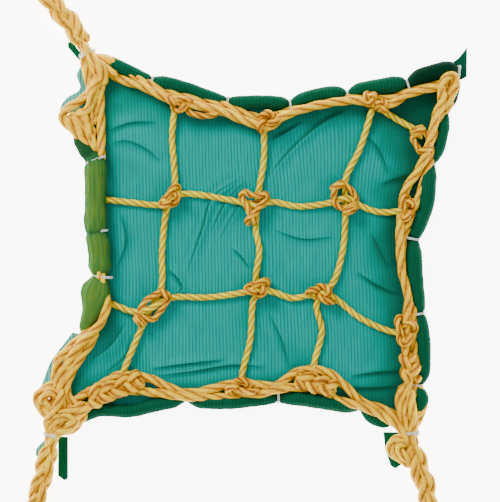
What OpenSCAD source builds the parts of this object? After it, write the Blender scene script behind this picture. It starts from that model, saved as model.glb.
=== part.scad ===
// Knotted rope net laid over a knitted shade cloth, lying flat on its cloth side.
// The cloth's edges are rolled around the border rope and lashed to it with twine.
// Millimetres, +Z up, +Y to the net's top side. The origin is on the floor under
// the middle mesh, and every place in the plane grows with the two mesh pitches.

/* [Net] */
// Distance between the upright mesh ropes
pitch_x = 100; // [80:1:125]
// Distance between the cross ropes
pitch_y = 100; // [80:1:125]

/* [Ropes] */
// Diameter of the mesh rope
mesh_d = 7; // [6:0.5:10]
// Diameter of each run of the doubled border rope
border_d = 10; // [8:0.5:12]
// Width of the laid-up pair that makes a corner tie
tie_d = 22; // [18:0.5:27]
// Diameter of the lashing twine
twine_d = 2; // [1.5:0.1:2.4]

/* [Cloth] */
// Thickness of the shade cloth with its folds pressed down
cloth_t = 2; // [1.6:0.1:2.4]
// Thickness of a single flap of the cloth
flap_t = 1.2; // [1:0.1:1.5]
// Diameter of the rolled hem where it is fullest
hem_d = 20; // [16:0.5:24]

/* [Knots] */
// Thickness of a mesh knot
knot_d = 20; // [16:0.5:24]
// Diameter of the whipping at a corner
lashing_d = 26; // [21:0.5:32]
// Height of the whipping at a corner
lashing_h = 22; // [18:0.5:27]

/* [Corner eyes] */
// Inner width of the eye at the end of a corner tie
eye_bore = 28; // [22:0.5:34]
// Diameter of the rope in the eye
eye_rope_d = 12; // [10:0.5:14.5]
// Thickness of the stopper knot under the eye
eye_knot_d = 28; // [23:0.5:34]
// Length of the stopper knot along the rope
eye_knot_len = 34; // [28:0.5:41]

/* [Clearances] */
// Gap between a knot and the cloth under it
knot_gap = 0.2; // [0.1:0.05:0.5]
// Gap between a corner whipping and the tie that swings on it
swing_gap = 1; // [0.5:0.1:2]

/* [Hidden] */

rope_sides = 8;
hem_sides = 12;
tie_sides = 12;
round_fn = 48;

// Places in the plane are given at the nominal pitch and grow with the real one.
nominal_pitch = 100;
grow_x = pitch_x / nominal_pitch;
grow_y = pitch_y / nominal_pitch;

// Height by which a rope rises to lie on another one, for each kind of rope.
border_stack = 0.75 * border_d;
mesh_stack = mesh_d;

rope_color = "#E6B450";
mesh_color = "#D9C87C";
hem_color = "#0B6B3C";
cloth_color = "#2BA595";
flap_color = "#7FC4B8";
twine_color = "#DCE8DC";

// Mesh ropes: [x, y, lift], where a lift of 1 lies on top of another rope.
route_v1 = [
    [-96, 156, 0.6], [-99, 126, 0], [-96, 72, 0], [-99, 58, 0], [-105, 44, 0], [-110, 0, 0],
    [-111, -42, 0], [-122, -64, 0], [-131, -82, 0], [-154, -137, 0.6]
];
route_v2 = [
    [2, 138, 0.6], [2, 100, 0], [-4, 62, 0], [-5, 48, 0], [-7, 24, 0], [-3, 0, 0],
    [-7, -32, 0], [-5, -43, 0], [-10, -58, 0], [-13, -99, 0], [-21, -132, 0], [-23, -146, 0.6]
];
route_v3 = [
    [122, 158, 0.6], [108, 112, 0], [92, 78, 0], [92, 57, 0], [89, 0, 0], [77, -38, 0],
    [66, -47, 0], [60, -62, 0], [66, -88, 0], [58, -122, 0], [56, -134, 0.6]
];
route_h1 = [
    [-176, 56, 0.2], [-140, 52, 0], [-113, 50, 0.2], [-99, 58, 1], [-85, 62, 0.2], [-25, 53, 0.2],
    [-5, 48, 1], [10, 53, 0.2], [40, 48, 0], [75, 52, 0.2], [92, 57, 1], [110, 48, 0.2],
    [128, 42, 0], [150, 43, 0.5], [160, 48, 1]
];
route_h2 = [
    [-168, -58, 0.2], [-140, -68, 0.2], [-122, -64, 1], [-102, -53, 0.2], [-58, -52, 0],
    [-22, -47, 0.2], [-5, -43, 1], [12, -46, 0.2], [33, -53, 0], [50, -50, 0.2], [66, -47, 1],
    [80, -53, 0.2], [110, -76, 0], [150, -91, 0.2], [160, -86, 1]
];
route_brace = [[128, 156, 1], [150, 143, 0], [170, 131, 0.2], [176, 122, 0.6]];

// Border rope, two runs for each side, from the left or from the top.
route_top_outer = [
    [-181, 211, 0], [-164, 208, 0], [-134, 188, 0], [-102, 173, 0], [-44, 160, 0],
    [-14, 148, 0], [8, 144, 0], [22, 150, 0], [64, 161, 0], [108, 168, 0], [138, 166, 0],
    [160, 173, 0], [188, 181, 0], [206, 185, 0]
];
route_top_inner = [
    [-180, 206, 1], [-170, 198, 0.4], [-158, 189, 0], [-132, 180, 0.6], [-102, 166, 1],
    [-44, 152, 1], [-14, 140, 1], [8, 136, 1], [22, 145.5, 1.2], [40, 153, 1.3], [64, 159, 1.32],
    [92, 163.5, 1.3], [108, 163.5, 1.2], [138, 159, 1], [160, 171, 1], [188, 178, 1], [204, 180, 1]
];
route_right_outer = [
    [209, 184, 0], [204, 168, 0], [198, 151, 0], [194, 132, 0], [188, 109, 0], [182, 89, 0],
    [174, 62, 0], [166, 38, 0], [155, 12, 0], [158, -26, 0], [166, -50, 0], [167, -76, 0],
    [168, -110, 0], [168, -142, 0], [167, -168, 0], [166, -190, 0]
];
route_right_inner = [
    [200, 176, 1], [198, 164, 1], [191, 148, 1], [187, 130, 1], [181, 109, 1], [172, 88, 0.5],
    [158, 66, 0], [154, 44, 0], [151, 14, 1], [154, -26, 1], [160, -50, 1], [159, -76, 0.6],
    [158, -110, 0.6], [161, -142, 1], [157, -168, 0.6], [159, -188, 1]
];
route_bottom_outer = [
    [-222, -194, 0], [-208, -168, 0], [-182, -152, 0], [-158, -138, 0], [-128, -140, 0],
    [-84, -157, 0], [-41, -149, 0], [-23, -146, 0], [16, -149, 0], [33, -137, 0], [54, -131, 0],
    [75, -136, 0], [97, -155, 0], [110, -167, 0], [138, -177, 0], [154, -189, 0]
];
route_bottom_inner = [
    [-216, -196, 1], [-198, -178, 1], [-176, -163, 0.4], [-150, -155, 0], [-116, -157, 0.4],
    [-84, -161, 1], [-60, -162, 0.2], [-36, -162, 0], [-10, -160, 0.2], [16, -153, 1],
    [40, -151, 0.2], [65, -154, 0], [84, -165, 0.2], [108, -171, 1], [134, -183, 1], [150, -194, 1]
];
route_left_outer = [
    [-194, 205, 0], [-192, 192, 0], [-190, 174, 0], [-220, 148, 0], [-204, 128, 0],
    [-186, 110, 0], [-185, 84, 0], [-185, 20, 0], [-183, -30, 0], [-184, -60, 0],
    [-188, -84, 0], [-208, -104, 0], [-225, -123, 0], [-228, -151, 0], [-231, -186, 0]
];
route_left_inner = [
    [-186, 202, 1], [-177, 187, 0.4], [-178, 170, 0], [-177, 132, 0], [-177, 104, 0.4],
    [-178, 84, 1], [-178, 20, 1], [-176, -30, 1], [-170, -58, 1], [-177, -80, 1],
    [-200, -104, 1], [-215, -127, 0.2], [-218.5, -150, 0], [-224, -184, 1]
];

// Rolled hem: [x, y, fullness], thin where a twine tie draws it in.
hem_run_top = [
    [-180, 216, 0.3], [-156, 202, 0.7], [-121, 187, 0.5], [-107, 184, 0.7], [-79, 177, 0.7],
    [-55, 168, 0.65], [-38, 164, 0.5], [-24, 163, 0.65], [0, 163, 0.75], [20, 162, 0.65],
    [31, 161, 0.5], [45, 166, 0.7], [66, 171, 0.8], [84, 172, 0.75], [94, 171, 0.5],
    [106, 176, 0.7], [135, 181, 0.85], [152, 183, 0.75], [160, 183, 0.55], [172, 190, 0.8],
    [187, 195, 0.9], [206, 199, 0.8], [217, 198, 0.55]
];
hem_run_right = [
    [217, 187, 0.4], [208, 168, 0.7], [202, 152, 0.5], [199, 134, 0.7], [194, 112, 0.7],
    [187, 95, 0.5], [184, 77, 0.8], [181, 50, 0.85], [173, 28, 0.8], [168, 12, 0.6],
    [167, -9, 0.9], [170, -44, 0.85], [174, -70, 0.6], [177, -94, 0.8], [178, -115, 0.8],
    [177, -134, 0.75], [172, -149, 0.6], [175, -165, 0.8], [170, -184, 0.6]
];
hem_run_bottom = [
    [-214, -194, 0.4], [-195, -183, 0.6], [-178, -177, 0.65], [-145, -177, 0.7],
    [-118, -171, 0.7], [-99, -167, 0.65], [-83, -163, 0.45], [-68, -167, 0.65],
    [-35, -168, 0.7], [-8, -165, 0.7], [18, -163, 0.55], [42, -164, 0.75], [69, -168, 0.75],
    [91, -171, 0.75], [109, -173, 0.5], [121, -184, 0.65], [140, -194, 0.5]
];
hem_run_left = [
    [-207, 126, 0.4], [-195, 111, 0.65], [-185, 98, 0.75], [-184, 80, 0.95], [-184, 56, 1],
    [-184, 36, 0.9], [-183, 20, 0.6], [-180, 0, 0.8], [-179, -20, 0.8], [-178, -29, 0.65],
    [-182, -46, 1], [-188, -70, 0.9], [-199, -92, 0.4]
];

// Places of the twine ties: which point of each hem run is drawn in.
ties_top = [2, 6, 10, 14, 18, 22];
ties_right = [2, 5, 9, 12, 16];
ties_bottom = [6, 10, 14];
ties_left = [2, 6, 9];

// Knots: [x, y, angle, length, thickness as a share of knot_d].
knots = [
    ["knot_v1_h1", [-99, 58, 50, 14, 1]],
    ["knot_v2_h1", [-5, 48, -30, 12, 1]],
    ["knot_v3_h1", [92, 57, 90, 16, 1.2]],
    ["knot_v1_h2", [-121, -63, 45, 22, 1.1]],
    ["knot_v2_h2", [-4, -43, 20, 12, 0.9]],
    ["knot_v3_h2", [66, -47, -20, 16, 0.9]],
    ["knot_top_v1", [-88, 157, -15, 20, 1]],
    ["knot_top_v2", [8, 141, 35, 16, 1]],
    ["knot_top_v3", [124, 161, -20, 14, 1]],
    ["knot_right_brace", [175, 121, -75, 18, 0.8]],
    ["knot_right_h1", [160, 50, 95, 40, 0.9]],
    ["knot_right_h2", [161, -88, 90, 20, 0.9]],
    ["knot_right_low", [163, -129, 90, 26, 0.8]],
    ["knot_bottom_v1", [-160, -150, 20, 56, 0.9]],
    ["knot_bottom_v2", [-22, -150, -5, 24, 0.9]],
    ["knot_bottom_v3", [60, -145, -15, 40, 0.9]],
    ["knot_left_h1", [-178, 55, 90, 20, 0.8]],
    ["knot_left_h2", [-173, -48, 80, 18, 0.9]],
    ["corner_loop_top_right", [207, 180, -75, 16, 0.9]]
];

// Corner whippings, where the border rope's runs meet.
corner_top_left = [-188, 214];
corner_bottom_left = [-230, -200];
corner_bottom_right = [162, -200];

// Corner ties, from the corner: [x, y, gap under the rope].
route_tie_top_left = [
    [-8, 13, 3], [-14, 23, 3], [-27, 40, 2.5], [-44, 60, 2], [-62, 82, 1.5],
    [-80, 104, 1], [-94, 123, 0.5]
];
route_tie_bottom_left = [
    [-3, -15, 3], [-6, -30, 3], [-11, -50, 2.5], [-18, -74, 2], [-27, -99, 1.5],
    [-36, -123, 1], [-43, -146, 0.5]
];
route_tie_bottom_right = [
    [3, -15, 3], [7, -30, 3], [14, -48, 2.5], [20, -71, 2], [26, -96, 1.5],
    [33, -122, 1], [40, -145, 0.5]
];

// Free edges of the cloth: flaps, tails and straps lying on the floor.
outline_flap_top_left = [
    [-198, 205], [-204, 194], [-201, 178], [-216, 167], [-222, 158], [-223, 150],
    [-206, 152], [-192, 163], [-194, 182]
];
outline_flap_bottom_left = [
    [-209, -91], [-222, -108], [-233, -123], [-240, -141], [-244, -152], [-232, -158],
    [-220, -132], [-206, -110], [-193, -96]
];
outline_tab_bottom_left = [[-238, -208], [-249, -220], [-249, -227], [-243, -229], [-236, -220]];
outline_strap_bottom_left = [
    [-225, -206], [-214, -206], [-214, -252], [-218, -254], [-225, -249]
];
outline_tail_top_left = [
    [-214, 229], [-209, 230], [-203, 221], [-196, 214], [-200, 208], [-206, 214], [-214, 224]
];
outline_flap_bottom_right = [
    [134, -201], [136, -220], [142, -238], [147, -241], [154, -236], [158, -215], [152, -201]
];
outline_tip_top_right = [
    [207, 204], [217, 212], [226, 223], [226, 191], [218, 187], [211, 192]
];

// The cloth lies flat out to the middle of its rolled hem.
cloth_outline = [
    for (p = concat(hem_run_top, hem_run_right, backwards(hem_run_bottom), backwards(hem_run_left)))
        plan(p)
];

function backwards(list) = [for (i = [len(list) - 1:-1:0]) list[i]];
function plan(p) = [p[0] * grow_x, p[1] * grow_y];
function unit(v) = v / norm(v);
function find(name, table) = table[search([name], table)[0]][1];

// Centre line of a rope that lies on the cloth, with its lifts turned to heights.
function lay(route, d, stack) = [
    for (p = route) [p[0] * grow_x, p[1] * grow_y, cloth_t + d / 2 + p[2] * stack]
];
// Centre line and radius of the rolled hem, which lies on the floor.
function hem_line(run) = [
    for (p = run) [p[0] * grow_x, p[1] * grow_y, p[2] * hem_d / 2]
];
// Direction of a centre line at point i.
function heading(line, i) =
    unit(line[min(i + 1, len(line) - 1)] - line[max(i - 1, 0)]);
// A ring of points around p, square to the direction t.
function ring(p, t, r, sides) =
    let (side = unit(cross([0, 0, 1], t)), up = cross(t, side))
    [for (k = [0:sides - 1]) p + r * (cos(360 * k / sides) * side + sin(360 * k / sides) * up)];

// Joins rings of points, one after another, into one closed solid.
module skin(rings) {
    n = len(rings[0]);
    last = len(rings) - 1;
    polyhedron(
        points = [for (one = rings) each one],
        faces = concat(
            [[for (k = [n - 1:-1:0]) k]],
            [for (i = [0:last - 1], k = [0:n - 1])
                [i * n + k, i * n + (k + 1) % n, (i + 1) * n + k]],
            [for (i = [0:last - 1], k = [0:n - 1])
                [i * n + (k + 1) % n, (i + 1) * n + (k + 1) % n, (i + 1) * n + k]],
            [[for (k = [0:n - 1]) last * n + k]]
        )
    );
}

// A round bar of constant diameter along a centre line.
module bar_along(line, d, sides) {
    skin([for (i = [0:len(line) - 1]) ring(line[i], heading(line, i), d / 2, sides)]);
}

module mesh_rope(route) {
    color(mesh_color) bar_along(lay(route, mesh_d, mesh_stack), mesh_d, rope_sides);
}

module border_rope(route) {
    color(rope_color) bar_along(lay(route, border_d, border_stack), border_d, rope_sides);
}

module hem(run) {
    line = hem_line(run);
    color(hem_color)
        skin([for (i = [0:len(line) - 1]) ring(line[i], heading(line, i), line[i][2], hem_sides)]);
}

module shade_cloth() {
    color(cloth_color) linear_extrude(cloth_t) polygon(cloth_outline);
}

// A flap keeps its own size and moves with the place on the net where it starts.
module flap(outline, tint) {
    shift = plan(outline[0]) - outline[0];
    color(tint) translate(shift) linear_extrude(flap_t) polygon(outline);
}

// A knot as a bar with round ends, lying just clear of the cloth.
module knot(name) {
    k = find(name, knots);
    r = k[4] * knot_d / 2;
    centre = plan(k);
    color(rope_color)
        translate([centre[0], centre[1], cloth_t + knot_gap + r])
            rotate([0, 0, k[2]])
                rotate([0, 90, 0])
                    rotate_extrude($fn = round_fn)
                        capsule_profile(k[3], r);
}

// Half of a bar with round ends, standing on the Y axis.
module capsule_profile(length, r) {
    intersection() {
        union() {
            translate([0, -length / 2]) square([r, length]);
            translate([0, length / 2]) circle(r, $fn = round_fn);
            translate([0, -length / 2]) circle(r, $fn = round_fn);
        }
        translate([0, -length / 2 - r]) square([r, length + 2 * r]);
    }
}

// Turns of rope and twine around the runs that meet at a corner.
module corner_lashing(corner) {
    edge = 4;
    centre = plan(corner);
    color(rope_color)
        translate([centre[0], centre[1], cloth_t + knot_gap])
            rotate_extrude($fn = round_fn)
                polygon([
                    [0, 0], [lashing_d / 2 - edge, 0], [lashing_d / 2, edge],
                    [lashing_d / 2, lashing_h - edge], [lashing_d / 2 - edge, lashing_h],
                    [0, lashing_h]
                ]);
}

// Start of a corner tie, pushed out so that it always clears its whipping.
function tie_line(corner, route) =
    let (
        centre = plan(corner),
        start = norm([route[0][0], route[0][1]]),
        push = lashing_d / 2 + swing_gap - start,
        way = unit([route[0][0], route[0][1], 0])
    )
    [for (p = route) [centre[0] + p[0], centre[1] + p[1], p[2] + tie_d / 2] + push * way];

module tie_rope(corner, route) {
    color(rope_color) bar_along(fine_line(tie_line(corner, route)), tie_d, tie_sides);
}

// Adds a point halfway along each piece of a centre line.
function fine_line(line) = [
    for (i = [0:2 * len(line) - 2])
        i % 2 == 0 ? line[i / 2] : (line[(i - 1) / 2] + line[(i + 1) / 2]) / 2
];

// Stopper knot with an eye, on the free end of a corner tie.
module tie_eye(corner, route) {
    line = tie_line(corner, route);
    tip = line[len(line) - 1];
    way = heading(line, len(line) - 1);
    turn = atan2(way[1], way[0]);
    loop_r = (eye_bore + eye_rope_d) / 2;
    loop_x = eye_knot_len + eye_bore / 2;
    color(rope_color)
        translate([tip[0], tip[1], 0])
            rotate([0, 0, turn]) {
                translate([eye_knot_len / 2, 0, eye_knot_d / 2])
                    rotate([0, 90, 0])
                        eye_knot();
                translate([loop_x, 0, eye_rope_d / 2])
                    rotate_extrude($fn = round_fn)
                        translate([loop_r, 0])
                            circle(d = eye_rope_d, $fn = 24);
            }
}

module eye_knot() {
    edge = 5;
    rotate_extrude($fn = round_fn)
        polygon([
            [0, -eye_knot_len / 2], [eye_knot_d / 2 - edge, -eye_knot_len / 2],
            [eye_knot_d / 2, edge - eye_knot_len / 2], [eye_knot_d / 2, eye_knot_len / 2 - edge],
            [eye_knot_d / 2 - edge, eye_knot_len / 2], [0, eye_knot_len / 2]
        ]);
}

// One twine tie: a flat ring around the hem and the border rope beside it, which
// lies to the left (1) or to the right (-1) of the hem's run.
module twine_tie(line, i, rope_side) {
    t = heading(line, i);
    turn = atan2(t[1], t[0]);
    half_w = line[i][2] + border_d / 2;
    half_h = line[i][2] + twine_d / 2;
    centre = [line[i][0], line[i][1], half_h + twine_d / 2 + 0.2];
    reach = border_d / 3;
    steps = 12;
    translate(centre) rotate([0, 0, turn])
        loop_skin([
            for (k = [0:steps - 1])
                let (a = 360 * k / steps)
                flat_ring([0, half_w * cos(a) + reach * rope_side, half_h * sin(a)], a)
        ]);
}

// Six points around the twine where it passes p, on its way round the hem.
function flat_ring(p, a) = [
    for (k = [0:5])
        let (b = 60 * k)
        p + twine_d / 2 * [sin(b), cos(b) * cos(a), cos(b) * sin(a)]
];

// Joins rings of points into one solid that closes on itself.
module loop_skin(rings) {
    n = len(rings[0]);
    m = len(rings);
    polyhedron(
        points = [for (one = rings) each one],
        faces = concat(
            [for (i = [0:m - 1], k = [0:n - 1])
                [i * n + k, i * n + (k + 1) % n, ((i + 1) % m) * n + k]],
            [for (i = [0:m - 1], k = [0:n - 1])
                [i * n + (k + 1) % n, ((i + 1) % m) * n + (k + 1) % n, ((i + 1) % m) * n + k]]
        )
    );
}

module twine(run, places, rope_side) {
    line = hem_line(run);
    color(twine_color)
        for (i = places)
            twine_tie(line, i, rope_side);
}

shade_cloth();
hem(hem_run_top);  // hem_top
hem(hem_run_right);  // hem_right
hem(hem_run_bottom);  // hem_bottom
hem(hem_run_left);  // hem_left
flap(outline_flap_top_left, flap_color);  // flap_top_left
flap(outline_flap_bottom_left, flap_color);  // flap_bottom_left
flap(outline_tab_bottom_left, flap_color);  // tab_bottom_left
flap(outline_strap_bottom_left, hem_color);  // strap_bottom_left
flap(outline_tail_top_left, hem_color);  // tail_top_left
flap(outline_flap_bottom_right, hem_color);  // flap_bottom_right
flap(outline_tip_top_right, hem_color);  // tip_top_right
border_rope(route_top_outer);  // border_rope_top_outer
border_rope(route_top_inner);  // border_rope_top_inner
border_rope(route_right_outer);  // border_rope_right_outer
border_rope(route_right_inner);  // border_rope_right_inner
border_rope(route_bottom_outer);  // border_rope_bottom_outer
border_rope(route_bottom_inner);  // border_rope_bottom_inner
border_rope(route_left_outer);  // border_rope_left_outer
border_rope(route_left_inner);  // border_rope_left_inner
mesh_rope(route_v1);  // mesh_rope_v1
mesh_rope(route_v2);  // mesh_rope_v2
mesh_rope(route_v3);  // mesh_rope_v3
mesh_rope(route_h1);  // mesh_rope_h1
mesh_rope(route_h2);  // mesh_rope_h2
mesh_rope(route_brace);  // brace_rope
knot("knot_v1_h1");  // knot_v1_h1
knot("knot_v2_h1");  // knot_v2_h1
knot("knot_v3_h1");  // knot_v3_h1
knot("knot_v1_h2");  // knot_v1_h2
knot("knot_v2_h2");  // knot_v2_h2
knot("knot_v3_h2");  // knot_v3_h2
knot("knot_top_v1");  // knot_top_v1
knot("knot_top_v2");  // knot_top_v2
knot("knot_top_v3");  // knot_top_v3
knot("knot_right_brace");  // knot_right_brace
knot("knot_right_h1");  // knot_right_h1
knot("knot_right_h2");  // knot_right_h2
knot("knot_right_low");  // knot_right_low
knot("knot_bottom_v1");  // knot_bottom_v1
knot("knot_bottom_v2");  // knot_bottom_v2
knot("knot_bottom_v3");  // knot_bottom_v3
knot("knot_left_h1");  // knot_left_h1
knot("knot_left_h2");  // knot_left_h2
knot("corner_loop_top_right");  // corner_loop_top_right
corner_lashing(corner_top_left);  // corner_lashing_top_left
corner_lashing(corner_bottom_left);  // corner_lashing_bottom_left
corner_lashing(corner_bottom_right);  // corner_lashing_bottom_right
tie_rope(corner_top_left, route_tie_top_left);  // tie_rope_top_left
tie_rope(corner_bottom_left, route_tie_bottom_left);  // tie_rope_bottom_left
tie_rope(corner_bottom_right, route_tie_bottom_right);  // tie_rope_bottom_right
tie_eye(corner_top_left, route_tie_top_left);  // tie_eye_top_left
tie_eye(corner_bottom_left, route_tie_bottom_left);  // tie_eye_bottom_left
tie_eye(corner_bottom_right, route_tie_bottom_right);  // tie_eye_bottom_right
twine(hem_run_top, ties_top, -1);  // twine_top
twine(hem_run_right, ties_right, -1);  // twine_right
twine(hem_run_bottom, ties_bottom, 1);  // twine_bottom
twine(hem_run_left, ties_left, 1);  // twine_left
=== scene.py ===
"""Looks of a knotted rope net lashed over a knitted shade cloth.

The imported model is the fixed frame: every piece here stands for one or more of its
nodes, sits where that node is and rides on its body. Lengths are metres.
"""

import logging
import math
from dataclasses import dataclass, field
from enum import Enum
from typing import Callable, Sequence


import bpy
import numpy as np
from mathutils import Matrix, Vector, noise

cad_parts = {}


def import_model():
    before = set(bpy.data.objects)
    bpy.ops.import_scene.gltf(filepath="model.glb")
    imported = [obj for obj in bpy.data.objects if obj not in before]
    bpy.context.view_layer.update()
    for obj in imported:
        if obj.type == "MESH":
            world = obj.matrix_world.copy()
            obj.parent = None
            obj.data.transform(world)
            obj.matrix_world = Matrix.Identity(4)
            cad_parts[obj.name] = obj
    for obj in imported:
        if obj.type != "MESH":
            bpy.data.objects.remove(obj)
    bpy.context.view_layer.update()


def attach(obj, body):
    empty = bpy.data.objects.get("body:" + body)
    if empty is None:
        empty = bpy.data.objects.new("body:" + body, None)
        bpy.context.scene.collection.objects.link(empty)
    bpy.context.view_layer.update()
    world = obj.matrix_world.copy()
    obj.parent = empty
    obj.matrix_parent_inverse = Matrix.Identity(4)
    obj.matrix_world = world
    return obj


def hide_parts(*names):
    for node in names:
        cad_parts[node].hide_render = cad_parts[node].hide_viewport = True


LOG = logging.getLogger("climbing_net")
MM = 0.001

NET_BODY = "net"
CLOTH_THICKNESS = 2 * MM
MESH_ROPE_D = 7 * MM
BORDER_ROPE_D = 10 * MM
TIE_PAIR_D = 22 * MM
TWINE_D = 2 * MM
BORDER_STACK = 0.75 * BORDER_ROPE_D
MESH_STACK = MESH_ROPE_D
HEM_FULL_D = 20 * MM
FLAP_THICKNESS = 0.6 * MM
ROPE_UNEVENNESS = 0.05  # share by which a rope's thickness wanders
END_LENGTH = 0.32  # length of a rope's rounded end, in diameters
END_TAPER = 0.72  # share of its thickness that a rope loses at its end
SPREAD_LINES = 45  # lines each way over which a sheet's spread size is taken
RIB_PITCH = 3.7 * MM

# ---------------------------------------------------------------------------
# Routes: the same points as in the design, in millimetres.
# [x, y, lift], where a lift of 1 lies on top of another rope.
# ---------------------------------------------------------------------------
MESH_ROUTES = {
    "mesh_rope_v1": [
        (-96, 156, 0.6), (-99, 126, 0), (-96, 72, 0), (-99, 58, 0), (-105, 44, 0),
        (-110, 0, 0), (-111, -42, 0), (-122, -64, 0), (-131, -82, 0), (-154, -137, 0.6),
    ],
    "mesh_rope_v2": [
        (2, 138, 0.6), (2, 100, 0), (-4, 62, 0), (-5, 48, 0), (-7, 24, 0), (-3, 0, 0),
        (-7, -32, 0), (-5, -43, 0), (-10, -58, 0), (-13, -99, 0), (-21, -132, 0),
        (-23, -146, 0.6),
    ],
    "mesh_rope_v3": [
        (122, 158, 0.6), (108, 112, 0), (92, 78, 0), (92, 57, 0), (89, 0, 0), (77, -38, 0),
        (66, -47, 0), (60, -62, 0), (66, -88, 0), (58, -122, 0), (56, -134, 0.6),
    ],
    "mesh_rope_h1": [
        (-176, 56, 0.2), (-140, 52, 0), (-113, 50, 0.2), (-99, 58, 1), (-85, 62, 0.2),
        (-25, 53, 0.2), (-5, 48, 1), (10, 53, 0.2), (40, 48, 0), (75, 52, 0.2), (92, 57, 1),
        (110, 48, 0.2), (128, 42, 0), (150, 43, 0.5), (160, 48, 1),
    ],
    "mesh_rope_h2": [
        (-168, -58, 0.2), (-140, -68, 0.2), (-122, -64, 1), (-102, -53, 0.2), (-58, -52, 0),
        (-22, -47, 0.2), (-5, -43, 1), (12, -46, 0.2), (33, -53, 0), (50, -50, 0.2),
        (66, -47, 1), (80, -53, 0.2), (110, -76, 0), (150, -91, 0.2), (160, -86, 1),
    ],
    "brace_rope": [(128, 156, 1), (150, 143, 0), (170, 131, 0.2), (176, 122, 0.6)],
}

BORDER_ROUTES = {
    "border_rope_top_outer": [
        (-181, 211, 0), (-164, 208, 0), (-134, 188, 0), (-102, 173, 0), (-44, 160, 0),
        (-14, 148, 0), (8, 144, 0), (22, 150, 0), (64, 161, 0), (108, 168, 0), (138, 166, 0),
        (160, 173, 0), (188, 181, 0), (206, 185, 0),
    ],
    "border_rope_top_inner": [
        (-180, 206, 1), (-170, 198, 0.4), (-158, 189, 0), (-132, 180, 0.6), (-102, 166, 1),
        (-44, 152, 1), (-14, 140, 1), (8, 136, 1), (22, 145.5, 1.2), (40, 153, 1.3),
        (64, 159, 1.32), (92, 163.5, 1.3), (108, 163.5, 1.2), (138, 159, 1), (160, 171, 1),
        (188, 178, 1), (204, 180, 1),
    ],
    "border_rope_right_outer": [
        (209, 184, 0), (204, 168, 0), (198, 151, 0), (194, 132, 0), (188, 109, 0),
        (182, 89, 0), (174, 62, 0), (166, 38, 0), (155, 12, 0), (158, -26, 0), (166, -50, 0),
        (167, -76, 0), (168, -110, 0), (168, -142, 0), (167, -168, 0), (166, -190, 0),
    ],
    "border_rope_right_inner": [
        (200, 176, 1), (198, 164, 1), (191, 148, 1), (187, 130, 1), (181, 109, 1),
        (172, 88, 0.5), (158, 66, 0), (154, 44, 0), (151, 14, 1), (154, -26, 1),
        (160, -50, 1), (159, -76, 0.6), (158, -110, 0.6), (161, -142, 1), (157, -168, 0.6),
        (159, -188, 1),
    ],
    "border_rope_bottom_outer": [
        (-222, -194, 0), (-208, -168, 0), (-182, -152, 0), (-158, -138, 0), (-128, -140, 0),
        (-84, -157, 0), (-41, -149, 0), (-23, -146, 0), (16, -149, 0), (33, -137, 0),
        (54, -131, 0), (75, -136, 0), (97, -155, 0), (110, -167, 0), (138, -177, 0),
        (154, -189, 0),
    ],
    "border_rope_bottom_inner": [
        (-216, -196, 1), (-198, -178, 1), (-176, -163, 0.4), (-150, -155, 0),
        (-116, -157, 0.4), (-84, -161, 1), (-60, -162, 0.2), (-36, -162, 0), (-10, -160, 0.2),
        (16, -153, 1), (40, -151, 0.2), (65, -154, 0), (84, -165, 0.2), (108, -171, 1),
        (134, -183, 1), (150, -194, 1),
    ],
    "border_rope_left_outer": [
        (-194, 205, 0), (-192, 192, 0), (-190, 174, 0), (-220, 148, 0), (-204, 128, 0),
        (-186, 110, 0), (-185, 84, 0), (-185, 20, 0), (-183, -30, 0), (-184, -60, 0),
        (-188, -84, 0), (-208, -104, 0), (-225, -123, 0), (-228, -151, 0), (-231, -186, 0),
    ],
    "border_rope_left_inner": [
        (-186, 202, 1), (-177, 187, 0.4), (-178, 170, 0), (-177, 132, 0), (-177, 104, 0.4),
        (-178, 84, 1), (-178, 20, 1), (-176, -30, 1), (-170, -58, 1), (-177, -80, 1),
        (-200, -104, 1), (-215, -127, 0.2), (-218.5, -150, 0), (-224, -184, 1),
    ],
}

# Rolled hem: (x, y, fullness), thin where a twine tie draws it in.
HEM_RUNS = {
    "hem_top": [
        (-180, 216, 0.3), (-156, 202, 0.7), (-121, 187, 0.5), (-107, 184, 0.7), (-79, 177, 0.7),
        (-55, 168, 0.65), (-38, 164, 0.5), (-24, 163, 0.65), (0, 163, 0.75), (20, 162, 0.65),
        (31, 161, 0.5), (45, 166, 0.7), (66, 171, 0.8), (84, 172, 0.75), (94, 171, 0.5),
        (106, 176, 0.7), (135, 181, 0.85), (152, 183, 0.75), (160, 183, 0.55), (172, 190, 0.8),
        (187, 195, 0.9), (206, 199, 0.8), (217, 198, 0.55),
    ],
    "hem_right": [
        (217, 187, 0.4), (208, 168, 0.7), (202, 152, 0.5), (199, 134, 0.7), (194, 112, 0.7),
        (187, 95, 0.5), (184, 77, 0.8), (181, 50, 0.85), (173, 28, 0.8), (168, 12, 0.6),
        (167, -9, 0.9), (170, -44, 0.85), (174, -70, 0.6), (177, -94, 0.8), (178, -115, 0.8),
        (177, -134, 0.75), (172, -149, 0.6), (175, -165, 0.8), (170, -184, 0.6),
    ],
    "hem_bottom": [
        (-214, -194, 0.4), (-195, -183, 0.6), (-178, -177, 0.65), (-145, -177, 0.7),
        (-118, -171, 0.7), (-99, -167, 0.65), (-83, -163, 0.45), (-68, -167, 0.65),
        (-35, -168, 0.7), (-8, -165, 0.7), (18, -163, 0.55), (42, -164, 0.75),
        (69, -168, 0.75), (91, -171, 0.75), (109, -173, 0.5), (121, -184, 0.65),
        (140, -194, 0.5),
    ],
    "hem_left": [
        (-207, 126, 0.4), (-195, 111, 0.65), (-185, 98, 0.75), (-184, 80, 0.95), (-184, 56, 1),
        (-184, 36, 0.9), (-183, 20, 0.6), (-180, 0, 0.8), (-179, -20, 0.8), (-178, -29, 0.65),
        (-182, -46, 1), (-188, -70, 0.9), (-199, -92, 0.4),
    ],
}

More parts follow.
